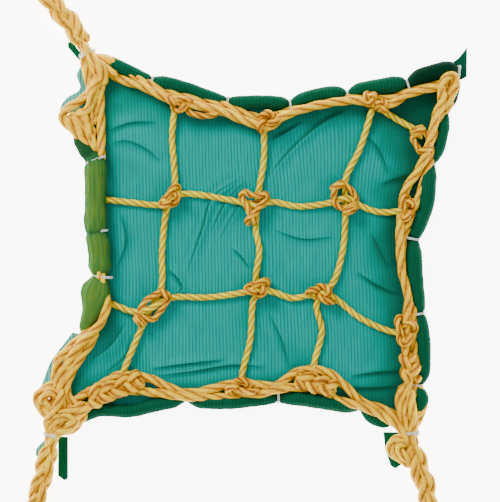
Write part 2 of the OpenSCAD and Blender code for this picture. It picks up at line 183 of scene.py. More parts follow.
# Which points of each hem run a twine tie draws in, and the side its rope lies on.
TWINE_PLACES = {
    "twine_top": ("hem_top", (2, 6, 10, 14, 18, 22), -1),
    "twine_right": ("hem_right", (2, 5, 9, 12, 16), -1),
    "twine_bottom": ("hem_bottom", (6, 10, 14), 1),
    "twine_left": ("hem_left", (2, 6, 9), 1),
}

CORNERS = {
    "top_left": (-188, 214),
    "bottom_left": (-230, -200),
    "bottom_right": (162, -200),
}

# Corner ties, from the corner: (x, y, gap under the rope).
TIE_ROUTES = {
    "top_left": [
        (-8, 13, 3), (-14, 23, 3), (-27, 40, 2.5), (-44, 60, 2), (-62, 82, 1.5),
        (-80, 104, 1), (-94, 123, 0.5),
    ],
    "bottom_left": [
        (-3, -15, 3), (-6, -30, 3), (-11, -50, 2.5), (-18, -74, 2), (-27, -99, 1.5),
        (-36, -123, 1), (-43, -146, 0.5),
    ],
    "bottom_right": [
        (3, -15, 3), (7, -30, 3), (14, -48, 2.5), (20, -71, 2), (26, -96, 1.5),
        (33, -122, 1), (40, -145, 0.5),
    ],
}

# Rope folded back at the start of the bottom right tie.
TIE_BIGHT = (
    ((160, -211, 15), (153, -207, 14), (145, -209, 12), (141, -217, 11.5), (146, -226, 12),
     (156, -231, 13), (165, -239, 14)),
    ((160, -213, 19), (152, -212, 17), (150, -218, 16), (155, -225, 18), (163, -231, 18)),
    ((161, -212, 12), (154, -214, 11.5), (153, -221, 11.5), (162, -228, 12)),
    ((164, -208, 12), (163, -216, 12), (166, -228, 12)),
)

FLAP_OUTLINES = {
    "flap_top_left": [
        (-198, 205), (-204, 194), (-201, 178), (-216, 167), (-222, 158), (-223, 150),
        (-206, 152), (-192, 163), (-194, 182),
    ],
    "flap_bottom_left": [
        (-209, -91), (-222, -108), (-233, -123), (-240, -141), (-244, -152), (-232, -158),
        (-220, -132), (-206, -110), (-193, -96),
    ],
    "tab_bottom_left": [(-238, -208), (-249, -220), (-249, -227), (-243, -229), (-236, -220)],
    "strap_bottom_left": [
        (-225, -206), (-214, -206), (-214, -252), (-218, -254), (-225, -249),
    ],
    "tail_top_left": [
        (-214, 229), (-209, 230), (-203, 221), (-196, 214), (-200, 208), (-206, 214),
        (-214, 224),
    ],
    "flap_bottom_right": [
        (134, -201), (136, -220), (142, -238), (147, -241), (154, -236), (158, -215),
        (152, -201),
    ],
    "tip_top_right": [(207, 204), (217, 212), (226, 223), (226, 191), (218, 187), (211, 192)],
}


# ---------------------------------------------------------------------------
# Small vector helpers
# ---------------------------------------------------------------------------
def smooth_line(points: Sequence[Sequence[float]], spacing: float) -> np.ndarray:
    """Draws a smooth curve through given points.

    Args:
        points: the points the curve passes through, with any number of columns.
        spacing: distance between the returned points, along the first three columns.

    Returns:
        Evenly spaced points on a centripetal Catmull-Rom curve.
    """
    p = np.asarray(points, dtype=float)
    first = 2 * p[0] - p[1]
    last = 2 * p[-1] - p[-2]
    p = np.vstack([first, p, last])
    dense: list[np.ndarray] = []
    for i in range(1, len(p) - 2):
        a, b, c, d = p[i - 1 : i + 3]
        steps = np.linspace(0.0, 1.0, 24, endpoint=False)
        t0 = 0.0
        t1 = t0 + max(np.linalg.norm(b[:3] - a[:3]) ** 0.5, 1e-6)
        t2 = t1 + max(np.linalg.norm(c[:3] - b[:3]) ** 0.5, 1e-6)
        t3 = t2 + max(np.linalg.norm(d[:3] - c[:3]) ** 0.5, 1e-6)
        t = (t1 + steps * (t2 - t1))[:, None]
        a1 = (t1 - t) / (t1 - t0) * a + (t - t0) / (t1 - t0) * b
        a2 = (t2 - t) / (t2 - t1) * b + (t - t1) / (t2 - t1) * c
        a3 = (t3 - t) / (t3 - t2) * c + (t - t2) / (t3 - t2) * d
        b1 = (t2 - t) / (t2 - t0) * a1 + (t - t0) / (t2 - t0) * a2
        b2 = (t3 - t) / (t3 - t1) * a2 + (t - t1) / (t3 - t1) * a3
        dense.append((t2 - t) / (t2 - t1) * b1 + (t - t1) / (t2 - t1) * b2)
    line = np.vstack(dense + [p[-2][None, :]])
    return resample(line, spacing)


def resample(line: np.ndarray, spacing: float) -> np.ndarray:
    """Spaces the points of a line evenly along its first three columns."""
    run = np.concatenate([[0.0], np.cumsum(np.linalg.norm(np.diff(line[:, :3], axis=0), axis=1))])
    count = max(int(round(run[-1] / spacing)), 2)
    wanted = np.linspace(0.0, run[-1], count + 1)
    return np.column_stack([np.interp(wanted, run, line[:, k]) for k in range(line.shape[1])])


def lengths_along(line: np.ndarray) -> np.ndarray:
    """Distance along a line at each of its points."""
    return np.concatenate([[0.0], np.cumsum(np.linalg.norm(np.diff(line[:, :3], axis=0), axis=1))])


def moving_frame(line: np.ndarray) -> tuple[np.ndarray, np.ndarray]:
    """Gives each point of a line two axes across it that don't spin along it.

    Args:
        line: points, at least three columns.

    Returns:
        The two axes, one row a point, square to the line and to each other.
    """
    p = line[:, :3]
    heading = np.gradient(p, axis=0)
    heading /= np.linalg.norm(heading, axis=1)[:, None]
    up = np.array([0.0, 0.0, 1.0])
    if abs(heading[0] @ up) > 0.9:
        up = np.array([0.0, 1.0, 0.0])
    side = np.zeros_like(p)
    side[0] = np.cross(up, heading[0])
    side[0] /= np.linalg.norm(side[0])
    for i in range(1, len(p)):
        axis = np.cross(heading[i - 1], heading[i])
        size = np.linalg.norm(axis)
        v = side[i - 1]
        if size > 1e-9:
            axis /= size
            angle = math.atan2(size, heading[i - 1] @ heading[i])
            v = (
                v * math.cos(angle)
                + np.cross(axis, v) * math.sin(angle)
                + axis * (axis @ v) * (1 - math.cos(angle))
            )
        v = v - heading[i] * (v @ heading[i])
        side[i] = v / np.linalg.norm(v)
    return side, np.cross(heading, side)


def rise_from_cloth(route: Sequence[Sequence[float]], diameter: float, stack: float) -> np.ndarray:
    """Turns a route with lifts into points in metres, lying on the cloth."""
    return np.array(
        [
            (x * MM, y * MM, CLOTH_THICKNESS + diameter / 2 + lift * stack)
            for x, y, lift in route
        ]
    )


def wobble(seed: float, values: np.ndarray, scale: float) -> np.ndarray:
    """Smooth noise between -1 and 1 along a list of values, always the same for one seed."""
    return np.array([noise.noise((v / scale, seed, 0.37 * seed)) for v in values])


# ---------------------------------------------------------------------------
# Meshes
# ---------------------------------------------------------------------------
@dataclass
class MeshBag:
    """Gathers tubes that become one mesh with one UV map and named point values."""

    points: list[np.ndarray] = field(default_factory=list)
    faces: list[np.ndarray] = field(default_factory=list)
    uvs: list[np.ndarray] = field(default_factory=list)
    caps: list[list[int]] = field(default_factory=list)
    marks: dict[str, list[tuple[int, np.ndarray]]] = field(default_factory=dict)
    count: int = 0

    def add_tube(
        self,
        rings: np.ndarray,
        along: np.ndarray,
        girth: float,
        marks: dict[str, np.ndarray] | None = None,
    ) -> None:
        """Adds a tube with closed ends.

        Args:
            rings: points as (ring, place round the ring, xyz).
            along: distance of each ring along the tube, for the UV map.
            girth: length round the tube, for the UV map.
            marks: named values, one for each ring or for each point.
        """
        n, m = rings.shape[:2]
        base = self.count
        self.points.append(rings.reshape(-1, 3))
        for name, value in (marks or {}).items():
            full = np.repeat(value[:, None], m, axis=1) if value.ndim == 1 else value
            self.marks.setdefault(name, []).append((base, full.reshape(-1)))
        self.count += n * m
        i = np.arange(n - 1)[:, None]
        k = np.arange(m)[None, :]
        kn = (k + 1) % m
        corners = [i * m + k, i * m + kn, (i + 1) * m + kn, (i + 1) * m + k]
        self.faces.append(np.stack(np.broadcast_arrays(*corners), axis=-1).reshape(-1, 4) + base)
        u0, u1 = k / m * girth, (k + 1) / m * girth
        v0, v1 = along[:-1][:, None], along[1:][:, None]
        uv = np.stack(np.broadcast_arrays(u0, v0, u1, v0, u1, v1, u0, v1), axis=-1)
        self.uvs.append(uv.reshape(-1, 2))
        self.caps.append([base + j for j in range(m)][::-1])
        self.caps.append([base + (n - 1) * m + j for j in range(m)])

    def build(self, name: str) -> bpy.types.Object:
        """Makes the smooth object, with its UV map and point values."""
        mesh = bpy.data.meshes.new(name)
        points = np.vstack(self.points)
        quads = np.vstack(self.faces)
        totals = [4] * len(quads) + [len(cap) for cap in self.caps]
        flat = np.concatenate([quads.reshape(-1), *(np.array(cap) for cap in self.caps)])
        starts = np.concatenate([[0], np.cumsum(totals)[:-1]])
        mesh.vertices.add(len(points))
        mesh.vertices.foreach_set("co", points.astype(np.float32).reshape(-1))
        mesh.loops.add(len(flat))
        mesh.loops.foreach_set("vertex_index", flat.astype(np.int32))
        mesh.polygons.add(len(totals))
        mesh.polygons.foreach_set("loop_start", starts.astype(np.int32))
        layer = mesh.uv_layers.new(name="UVMap")
        uv = np.vstack(self.uvs)
        pad = np.zeros((len(flat) - len(uv), 2))
        layer.data.foreach_set("uv", np.vstack([uv, pad]).astype(np.float32).reshape(-1))
        for mark, parts in self.marks.items():
            value = np.zeros(len(points), dtype=np.float32)
            for base, part in parts:
                value[base : base + len(part)] = part
            mesh.attributes.new(mark, "FLOAT", "POINT").data.foreach_set("value", value)
        mesh.update(calc_edges=True)
        mesh.polygons.foreach_set("use_smooth", [True] * len(mesh.polygons))
        made = bpy.data.objects.new(name, mesh)
        bpy.context.scene.collection.objects.link(made)
        return made


def deselect() -> None:
    """Leaves nothing selected and nothing active."""
    bpy.ops.object.select_all(action="DESELECT")
    bpy.context.view_layer.objects.active = None


# ---------------------------------------------------------------------------
# Ropes
# ---------------------------------------------------------------------------
@dataclass(frozen=True)
class Lay:
    """How a rope is laid up.

    Attributes:
        diameter: outside diameter of the rope.
        strands: number of strands round its centre.
        pitch: length of one full turn of the strands, in diameters.
        sides: points round each strand's share of the outline.
        spacing: distance between rings.
        depth: how deep the grooves are, as a share of those between hard round strands.
    """

    diameter: float
    strands: int = 3
    pitch: float = 3.4
    sides: int = 8
    spacing: float = 1.3 * MM
    depth: float = 0.62

    def outline(self) -> np.ndarray:
        """Outline of the strands laid together, as (angle, radius) pairs for a unit radius."""
        n = self.strands
        if n == 1:
            angle = np.linspace(0, 2 * math.pi, 2 * self.sides, endpoint=False)
            return np.column_stack([angle, np.ones_like(angle)])
        ratio = 1 / math.sin(math.pi / n)
        strand_r = 1 / (1 + ratio)
        centre_r = 1 - strand_r
        angle = np.linspace(0, 2 * math.pi, n * self.sides, endpoint=False)
        local = (angle + math.pi / n) % (2 * math.pi / n) - math.pi / n
        reach = centre_r * np.cos(local)
        inside = np.maximum(strand_r**2 - (centre_r * np.sin(local)) ** 2, 0)
        radius = 1 - self.depth * (1 - reach - np.sqrt(inside))
        return np.column_stack([angle, radius])


def sweep(
    line: np.ndarray, outline: np.ndarray, turn: np.ndarray, size: np.ndarray
) -> np.ndarray:
    """Sweeps an outline of (angle, radius) pairs along a line.

    Args:
        line: the centre line, evenly spaced.
        outline: the outline for a unit radius.
        turn: how far the outline is turned at each point, in radians.
        size: the radius at each point.

    Returns:
        Points as (ring, place round the ring, xyz).
    """
    side, up = moving_frame(line)
    angle = outline[:, 0][None, :] + turn[:, None]
    radius = outline[:, 1][None, :] * size[:, None]
    return (
        line[:, None, :3]
        + (radius * np.cos(angle))[:, :, None] * side[:, None, :]
        + (radius * np.sin(angle))[:, :, None] * up[:, None, :]
    )


def add_rope(
    bag: MeshBag, points: Sequence[Sequence[float]], lay: Lay, seed: float = 0.0
) -> np.ndarray:
    """Adds a laid rope along points in metres and returns its centre line.

    Args:
        bag: the mesh it goes into.
        points: given or computed points that the rope passes.
        lay: how the rope is laid up.
        seed: sets the rope's own unevenness.

    Returns:
        The evenly spaced centre line.
    """
    line = smooth_line(points, lay.spacing)
    run = lengths_along(line)
    outline = lay.outline()
    turn = 2 * math.pi * run / (lay.pitch * lay.diameter) + seed
    tail = np.minimum(run, run[-1] - run) / (END_LENGTH * lay.diameter)
    size = lay.diameter / 2 * (1 + ROPE_UNEVENNESS * wobble(seed + 3.1, run, 9 * MM))
    size = size * (1 - END_TAPER * np.exp(-(tail**2)))
    rings = sweep(line, outline, turn, size)
    low, high = outline[:, 1].min(), 1.0
    groove = (high - outline[:, 1]) / max(high - low, 1e-6)
    bag.add_tube(
        rings,
        run,
        math.pi * lay.diameter,
        {
            "groove": np.repeat(groove[None, :], len(line), axis=0),
            "wear": wobble(seed + 7.7, run, 28 * MM),
        },
    )
    return line


MESH_LAY = Lay(MESH_ROPE_D, pitch=4.8, sides=7, spacing=1.2 * MM, depth=0.3)
BORDER_LAY = Lay(BORDER_ROPE_D, pitch=6.2, sides=8, spacing=1.3 * MM, depth=0.42)
CORE_LAY = Lay(13.5 * MM, pitch=5.0, sides=8, spacing=1.6 * MM, depth=0.45)
TWINE_LAY = Lay(0.65 * TWINE_D, strands=2, pitch=3.0, sides=5, spacing=0.7 * MM)


# ---------------------------------------------------------------------------
# Materials
# ---------------------------------------------------------------------------
def srgb(code: str) -> tuple[float, float, float, float]:
    """Turns an sRGB hex colour into linear values."""
    parts = [int(code[i : i + 2], 16) / 255 for i in (1, 3, 5)]
    linear = [c / 12.92 if c <= 0.04045 else ((c + 0.055) / 1.055) ** 2.4 for c in parts]
    return (*linear, 1.0)


def node(
    tree: bpy.types.NodeTree,
    kind: str,
    settings: dict[str, object] | None = None,
    inputs: dict[object, object] | None = None,
) -> bpy.types.Node:
    """Adds a node with its settings and links.

    Args:
        tree: the node tree to add to.
        kind: the node's bl_idname.
        settings: properties of the node itself.
        inputs: socket name or number to a value or to another node's socket.

    Returns:
        The new node.
    """
    made = tree.nodes.new(kind)
    for key, value in (settings or {}).items():
        setattr(made, key, value)
    for key, value in (inputs or {}).items():
        if isinstance(value, bpy.types.NodeSocket):
            tree.links.new(value, made.inputs[key])
        else:
            made.inputs[key].default_value = value
    return made


def ramp(
    tree: bpy.types.NodeTree, factor: bpy.types.NodeSocket, stops: Sequence[tuple[float, object]]
) -> bpy.types.NodeSocket:
    """Adds a colour ramp with the given stops and returns its colour socket."""
    made = node(tree, "ShaderNodeValToRGB", inputs={"Fac": factor})
    elements = made.color_ramp.elements
    while len(elements) < len(stops):
        elements.new(0.5)
    for element, (place, value) in zip(elements, stops):
        element.position = place
        element.color = srgb(value) if isinstance(value, str) else (value, value, value, 1)
    return made.outputs["Color"]


@dataclass(frozen=True)
class LaidRopeFinish:
    """Three-strand laid polypropylene split-film rope.

    Split film is drawn flat and glossy. The colour is painted lighter on the crowns of the strands, a
    painted highlight, and deep golden in the crevices between them, painted shade, over a matted,
    uneven surface.

    Attributes:
        name: the material's name.
        crevice, body, light: colours from the gap between strands to its crown: painted shade in the
            gap, a painted highlight on the crown.
        fibre_width: width of the fibres' pattern.
    """

    name: str
    crevice: str
    body: str
    light: str
    fibre_width: float = 0.9 * MM  # real film fibres are about 0.2 mm, drawn coarser to show

    def make(self) -> bpy.types.Material:
        """Builds the node tree."""
        material = bpy.data.materials.new(self.name)
        material.use_nodes = True
        tree = material.node_tree
        tree.nodes.clear()
        uv = node(tree, "ShaderNodeUVMap", {"uv_map": "UVMap"}).outputs["UV"]
        # Fibres run round each strand against the lay, close to the rope's own axis.
        fibres = node(
            tree,
            "ShaderNodeMapping",
            inputs={
                "Vector": uv,
                "Rotation": (0.0, 0.0, math.radians(14)),
                "Scale": (1 / self.fibre_width, 0.12 / self.fibre_width, 1.0),
            },
        ).outputs["Vector"]
        streak = node(
            tree,
            "ShaderNodeTexNoise",
            {"noise_dimensions": "2D"},
            {"Vector": fibres, "Scale": 1.0, "Detail": 3.0, "Roughness": 0.6},
        ).outputs["Fac"]
        worn = node(tree, "ShaderNodeAttribute", {"attribute_name": "wear"}).outputs["Fac"]
        place = node(tree, "ShaderNodeTexCoord").outputs["Object"]
        blotch = node(
            tree,
            "ShaderNodeTexNoise",
            inputs={"Vector": place, "Scale": 55.0, "Detail": 2.0},
        ).outputs["Fac"]
        groove = node(tree, "ShaderNodeAttribute", {"attribute_name": "groove"}).outputs["Fac"]
        matted = node(
            tree,
            "ShaderNodeTexNoise",
            inputs={"Vector": place, "Scale": 240.0, "Detail": 2.0},
        ).outputs["Fac"]
        filled = node(
            tree,
            "ShaderNodeMath",
            {"operation": "MULTIPLY_ADD"},
            {0: matted, 1: 0.9, 2: groove},
        ).outputs["Value"]
        depth = node(
            tree, "ShaderNodeMath", {"operation": "MULTIPLY"}, {0: filled, 1: 0.7}
        ).outputs["Value"]
        # The groove ramp paints shade into the crevices between strands and a highlight onto their
        # crowns.
        tint = ramp(tree, depth, [(0.28, self.light), (0.55, self.body), (0.95, self.crevice)])
        streaked = node(
            tree,
            "ShaderNodeMix",
            {"data_type": "RGBA", "blend_type": "SOFT_LIGHT"},
            {"Factor": 0.55, 6: tint, 7: ramp(tree, streak, [(0.3, 0.1), (0.7, 0.9)])},
        ).outputs[2]
        uneven = node(
            tree,
            "ShaderNodeMath",
            {"operation": "MULTIPLY_ADD"},
            {0: worn, 1: 0.25, 2: blotch},
        ).outputs["Value"]
        aged = node(
            tree,
            "ShaderNodeMix",
            {"data_type": "RGBA", "blend_type": "OVERLAY"},
            {"Factor": 0.35, 6: streaked, 7: ramp(tree, uneven, [(0.3, 0.25), (0.75, 0.78)])},
        ).outputs[2]
        relief = node(
            tree,
            "ShaderNodeBump",
            inputs={"Height": streak, "Strength": 0.5, "Distance": 0.35 * MM},
        ).outputs["Normal"]
        gloss = ramp(tree, streak, [(0.3, 0.62), (0.75, 0.42)])
        shader = node(
            tree,
            "ShaderNodeBsdfPrincipled",
            inputs={
                "Base Color": aged,
                "Roughness": gloss,
                "IOR": 1.49,
                "Specular IOR Level": 0.15,
                "Normal": relief,
            },
        ).outputs["BSDF"]
        node(tree, "ShaderNodeOutputMaterial", inputs={"Surface": shader})
        return material


@dataclass(frozen=True)
class KnittedClothFinish:
    """Raschel-knitted polyethylene shade cloth.

    Upright ribs of looped yarn are joined by thin cross threads, so the eye sees
    fine light ribs over darker gaps, a dull shine and a slight see-through.

    Attributes:
        name: the material's name.
        gap, yarn, light: colours from the gaps to the crown of a rib.
        mid, deep: colours of the painted shade and darker tone that the "gathered" attribute mixes
            in; deep also colours the painted shadow line along each fold.
        opacity: 1 for a gathered cloth, less for one open layer.
        rib: distance between the ribs.
        relief: strength of the ribs' relief.
        showing: colour of what shines through the cloth, where the piece is marked for it.
    """

    name: str
    gap: str
    yarn: str
    light: str
    mid: str
    deep: str
    opacity: float = 1.0
    rib: float = RIB_PITCH
    relief: float = 0.6
    showing: str = ""

    def make(self) -> bpy.types.Material:
        """Builds the node tree."""
        material = bpy.data.materials.new(self.name)
        material.use_nodes = True
        tree = material.node_tree
        tree.nodes.clear()
        uv = node(tree, "ShaderNodeUVMap", {"uv_map": "UVMap"}).outputs["UV"]
        ribs = node(
            tree,
            "ShaderNodeTexWave",
            {"wave_type": "BANDS", "bands_direction": "X", "wave_profile": "SIN"},
            {
                "Vector": uv,
                "Scale": 2 * math.pi / self.rib / 20,
                "Distortion": 1.2,
                "Detail": 2.0,
                "Detail Scale": 0.6,
            },
        ).outputs["Fac"]
        loops = node(
            tree,
            "ShaderNodeTexWave",
            {"wave_type": "BANDS", "bands_direction": "Y", "wave_profile": "SIN"},
            {
                "Vector": uv,
                "Scale": 2 * math.pi / (self.rib * 0.55) / 20,
                "Distortion": 2.0,
                "Detail": 1.0,
            },
        ).outputs["Fac"]
        stretched = node(
            tree,
            "ShaderNodeMapping",
            inputs={"Vector": uv, "Scale": (420.0, 36.0, 1.0)},
        ).outputs["Vector"]
        uneven = node(
            tree,
            "ShaderNodeTexNoise",
            {"noise_dimensions": "2D"},
            {"Vector": stretched, "Scale": 1.0, "Detail": 3.0, "Roughness": 0.6},
        ).outputs["Fac"]
        knit = node(
            tree,
            "ShaderNodeMath",
            {"operation": "MULTIPLY_ADD"},
            {0: loops, 1: 0.25, 2: ribs},
        ).outputs["Value"]
        height = node(
            tree,
            "ShaderNodeMath",
            {"operation": "MULTIPLY_ADD"},
            {0: uneven, 1: 0.9, 2: knit},
        ).outputs["Value"]
        share = node(
            tree, "ShaderNodeMath", {"operation": "MULTIPLY"}, {0: height, 1: 0.5}
        ).outputs["Value"]
        open_tint = ramp(tree, share, [(0.22, self.gap), (0.5, self.yarn), (0.85, self.light)])
        # The "gathered" attribute holds painted shade and a darker tone: shade beside the border
        # rope, along the edges, in the corners, folds and notches, and tone that differs from place
        # to place.
        gathered = node(tree, "ShaderNodeAttribute", {"attribute_name": "gathered"}).outputs["Fac"]
        # Colour ramp of the painted shade and darker tone.
        dense = ramp(tree, gathered, [(0.0, self.yarn), (0.5, self.mid), (1.0, self.deep)])
        shade_and_tone_mix = ramp(tree, gathered, [(0.0, 0.0), (0.6, 0.8), (1.0, 0.93)])
        tint = node(
            tree,
            "ShaderNodeMix",
            {"data_type": "RGBA", "blend_type": "MIX"},
            {"Factor": shade_and_tone_mix, 6: open_tint, 7: dense},
        ).outputs[2]
        # Sharp folds: "fold" holds the distance across them, "fold_fade" how strong they are; the
        # ramp paints a shadow line along each fold.
        fold = node(tree, "ShaderNodeAttribute", {"attribute_name": "fold"}).outputs["Fac"]
        fade = node(tree, "ShaderNodeAttribute", {"attribute_name": "fold_fade"}).outputs["Fac"]
        line = ramp(
            tree,
            fold,
            [(0.0, 0.0), (0.28, 0.0), (0.44, 0.45), (0.49, 1.0), (0.52, 0.9), (0.55, 0.0)],
        )
        shadow = node(
            tree, "ShaderNodeMath", {"operation": "MULTIPLY"}, {0: line, 1: fade}
        ).outputs["Value"]
        tint = node(
            tree,
            "ShaderNodeMix",
            {"data_type": "RGBA", "blend_type": "MIX"},
            {"Factor": shadow, 6: tint, 7: srgb(self.deep)},
        ).outputs[2]
        if self.showing:
            shows = node(tree, "ShaderNodeAttribute", {"attribute_name": "shows"}).outputs["Fac"]
            streaks = node(
                tree,
                "ShaderNodeMath",
                {"operation": "MULTIPLY_ADD", "use_clamp": True},
                {0: uneven, 1: 1.2, 2: -0.1},
            ).outputs["Value"]
            through = node(
                tree, "ShaderNodeMath", {"operation": "MULTIPLY"}, {0: shows, 1: streaks}
            ).outputs["Value"]
            tint = node(
                tree,
                "ShaderNodeMix",
                {"data_type": "RGBA", "blend_type": "MIX"},
                {"Factor": through, 6: tint, 7: srgb(self.showing)},
            ).outputs[2]
        standing = node(
            tree, "ShaderNodeMath", {"operation": "MULTIPLY_ADD"}, {0: shadow, 1: -1.6, 2: height}
        ).outputs["Value"]
        bump = node(
            tree,
            "ShaderNodeBump",
            inputs={"Height": standing, "Strength": self.relief, "Distance": 0.5 * MM},
        ).outputs["Normal"]
        shader = node(
            tree,
            "ShaderNodeBsdfPrincipled",
            inputs={
                "Base Color": tint,
                "Roughness": 0.6,
                "IOR": 1.51,
                "Specular IOR Level": 0.02,
                "Alpha": self.opacity,
                "Normal": bump,
            },
        ).outputs["BSDF"]
        node(tree, "ShaderNodeOutputMaterial", inputs={"Surface": shader})
        return material


class Finish(Enum):
    """The finishes of the net, each made once."""

    MESH_ROPE = LaidRopeFinish("mesh_rope_split_film", "#AC8606", "#DCC404", "#ECDA1C")
    BORDER_ROPE = LaidRopeFinish("border_rope_split_film", "#985804", "#DCA400", "#F2C404")
    # The knots' rope is the mesh rope painted darker and more orange: painted shade where the knot's
    # turns shade one another.
    KNOT_ROPE = LaidRopeFinish("knot_rope_painted_shade", "#8C4E04", "#D29400", "#EEB804")
    TIE_ROPE = LaidRopeFinish("tie_rope_split_film", "#985806", "#DAA400", "#F0C008")
    TWINE = LaidRopeFinish(
        "twisted_twine", "#A9BDA9", "#EEF6EC", "#FDFFFB", fibre_width=0.5 * MM
    )
    SHADE_CLOTH = KnittedClothFinish(
        "knitted_shade_cloth", "#007067", "#00847B", "#00968C", "#005E48", "#054430", relief=0.3
    )
    HEM_CLOTH = KnittedClothFinish(
        "rolled_shade_cloth", "#054028", "#06472F", "#084F37", "#043422", "#032617", relief=0.06
    )
    ROPE_IN_HEM = KnittedClothFinish(
        "rolled_cloth_over_rope", "#1A5024", "#245E2C", "#2E6C34", "#0A4628", "#06341E",
        relief=0.25, showing="#587022",
    )
    SHEER_CLOTH = KnittedClothFinish(
        "single_layer_shade_cloth", "#0A665C", "#1C8A80", "#4AAEA6", "#0A665C", "#08564A",
        opacity=0.9,
    )

    def material(self) -> bpy.types.Material:
        """The finish's material, made at its first use."""
        found = bpy.data.materials.get(self.value.name)
        return found if found else self.value.make()


def dress(piece: bpy.types.Object, finish: Finish) -> None:
    """Gives a piece its finish."""
    piece.data.materials.clear()
    piece.data.materials.append(finish.material())


def place(piece: bpy.types.Object, body: str, *nodes: str) -> None:
    """Makes a piece ride on a body, stand for CAD nodes and report itself."""
    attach(piece, body)
    if nodes:
        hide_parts(*nodes)
    LOG.info("%s: %d faces on %s", piece.name, len(piece.data.polygons), body)


def turned(points: Sequence[Sequence[float]], spot: Sequence[float], angle: float) -> np.ndarray:
    """Turns local points in millimetres about the upright and puts them at a spot.

    Args:
        points: (along, across, height) in millimetres.
        spot: where the local origin goes, in millimetres.
        angle: the turn in degrees.

    Returns:
        Points in metres.
    """
    p = np.asarray(points, dtype=float)
    c, s = math.cos(math.radians(angle)), math.sin(math.radians(angle))
    x = spot[0] + p[:, 0] * c - p[:, 1] * s
    y = spot[1] + p[:, 0] * s + p[:, 1] * c
    z = spot[2] + p[:, 2]
    return np.column_stack([x, y, z]) * MM


def overhand(length: float, width: float, height: float, mirror: bool = False) -> np.ndarray:
    """Centre line of a pulled-tight overhand knot, in its own axes, in millimetres.

    Args:
        length, width, height: outside sizes less the rope's thickness.
        mirror: whether the knot is tied the other way round.

    Returns:
        Points of a line that crosses itself three times; both ends tuck in below.
    """
    t = np.linspace(0.0, 2 * math.pi * 0.985, 46)
    u = (np.sin(t) + 2 * np.sin(2 * t)) / 2.76
    v = (np.cos(t) - 2 * np.cos(2 * t) + 0.44) / 2.5
    w = -np.sin(3 * t)
    if mirror:
        v = -v
    return np.column_stack([u * length / 2, v * width / 2, w * height / 2])


def eyed_knot(length: float, width: float, rope: float) -> np.ndarray:
    """Centre line of a loose knot with an open eye: a wrap at each end of two strands.

    Args:
        length: distance between the outer sides of the two wraps.
        width: outside width at the eye.
        rope: diameter of the rope.

    Returns:
        Points in the knot's own axes, in millimetres.
    """
    half = length / 2 - rope * 0.5
    wrap = rope * 0.82
    low = [
        (-half - 1 + 1.7 * a, wrap * math.cos(6.0 * a), wrap * 0.95 * math.sin(6.0 * a))
        for a in np.linspace(0.0, 2.1, 14)
    ]
    bow = [
        (-half * 0.45, -width * 0.40, -rope * 0.25),
        (0.0, -width * 0.5 + rope * 0.3, -rope * 0.3),
        (half * 0.5, -width * 0.36, -rope * 0.2),
    ]
    high = [
        (half + 1 - 1.8 * a, wrap * math.cos(3.6 + 6.0 * a), wrap * 0.95 * math.sin(3.6 + 6.0 * a))
        for a in np.linspace(0.0, 1.6, 11)
    ]
    back = [
        (half * 0.4, width * 0.34, rope * 0.1),
        (0.0, width * 0.40, 0.0),
        (-half * 0.5, width * 0.3, -rope * 0.2),
        (-half * 0.9, 0.0, -rope * 0.5),
    ]
    return np.array([*low, *bow, *high, *back])


def plait(
    line: np.ndarray,
    strands: int,
    width: float | np.ndarray,
    height: float,
    pitch: float,
    start: float = 0.0,
    uneven: float = 0.0,
) -> list[np.ndarray]:
    """Centre lines of ropes plaited flat, or twisted where there are two.

    Args:
        line: evenly spaced points that the plait follows, in metres.
        strands: number of ropes.
        width, height: how far the ropes swing across and up, in metres.
        pitch: length of one full crossing pattern.
        start: where in the pattern the first rope begins, in radians.
        uneven: how far each rope strays from the pattern, as a share of the swing.

    Returns:
        One line of points for each rope.
    """
    side, up = moving_frame(line)
    run = lengths_along(line)
    slip = 1.5 * uneven * wobble(start + 11.0, run, 0.8 * pitch)
    lines = []
    for k in range(strands):
        phase = 2 * math.pi * (run / pitch + k / strands) + start + slip
        lift = np.cos(phase) if strands == 2 else np.sin(2 * phase)
        stray = uneven * wobble(start + 2.3 * k, run, 0.3 * pitch)
        across = (width * (np.sin(phase) + stray))[:, None] * side
        lines.append(line[:, :3] + across + (height * lift)[:, None] * up)
    return lines


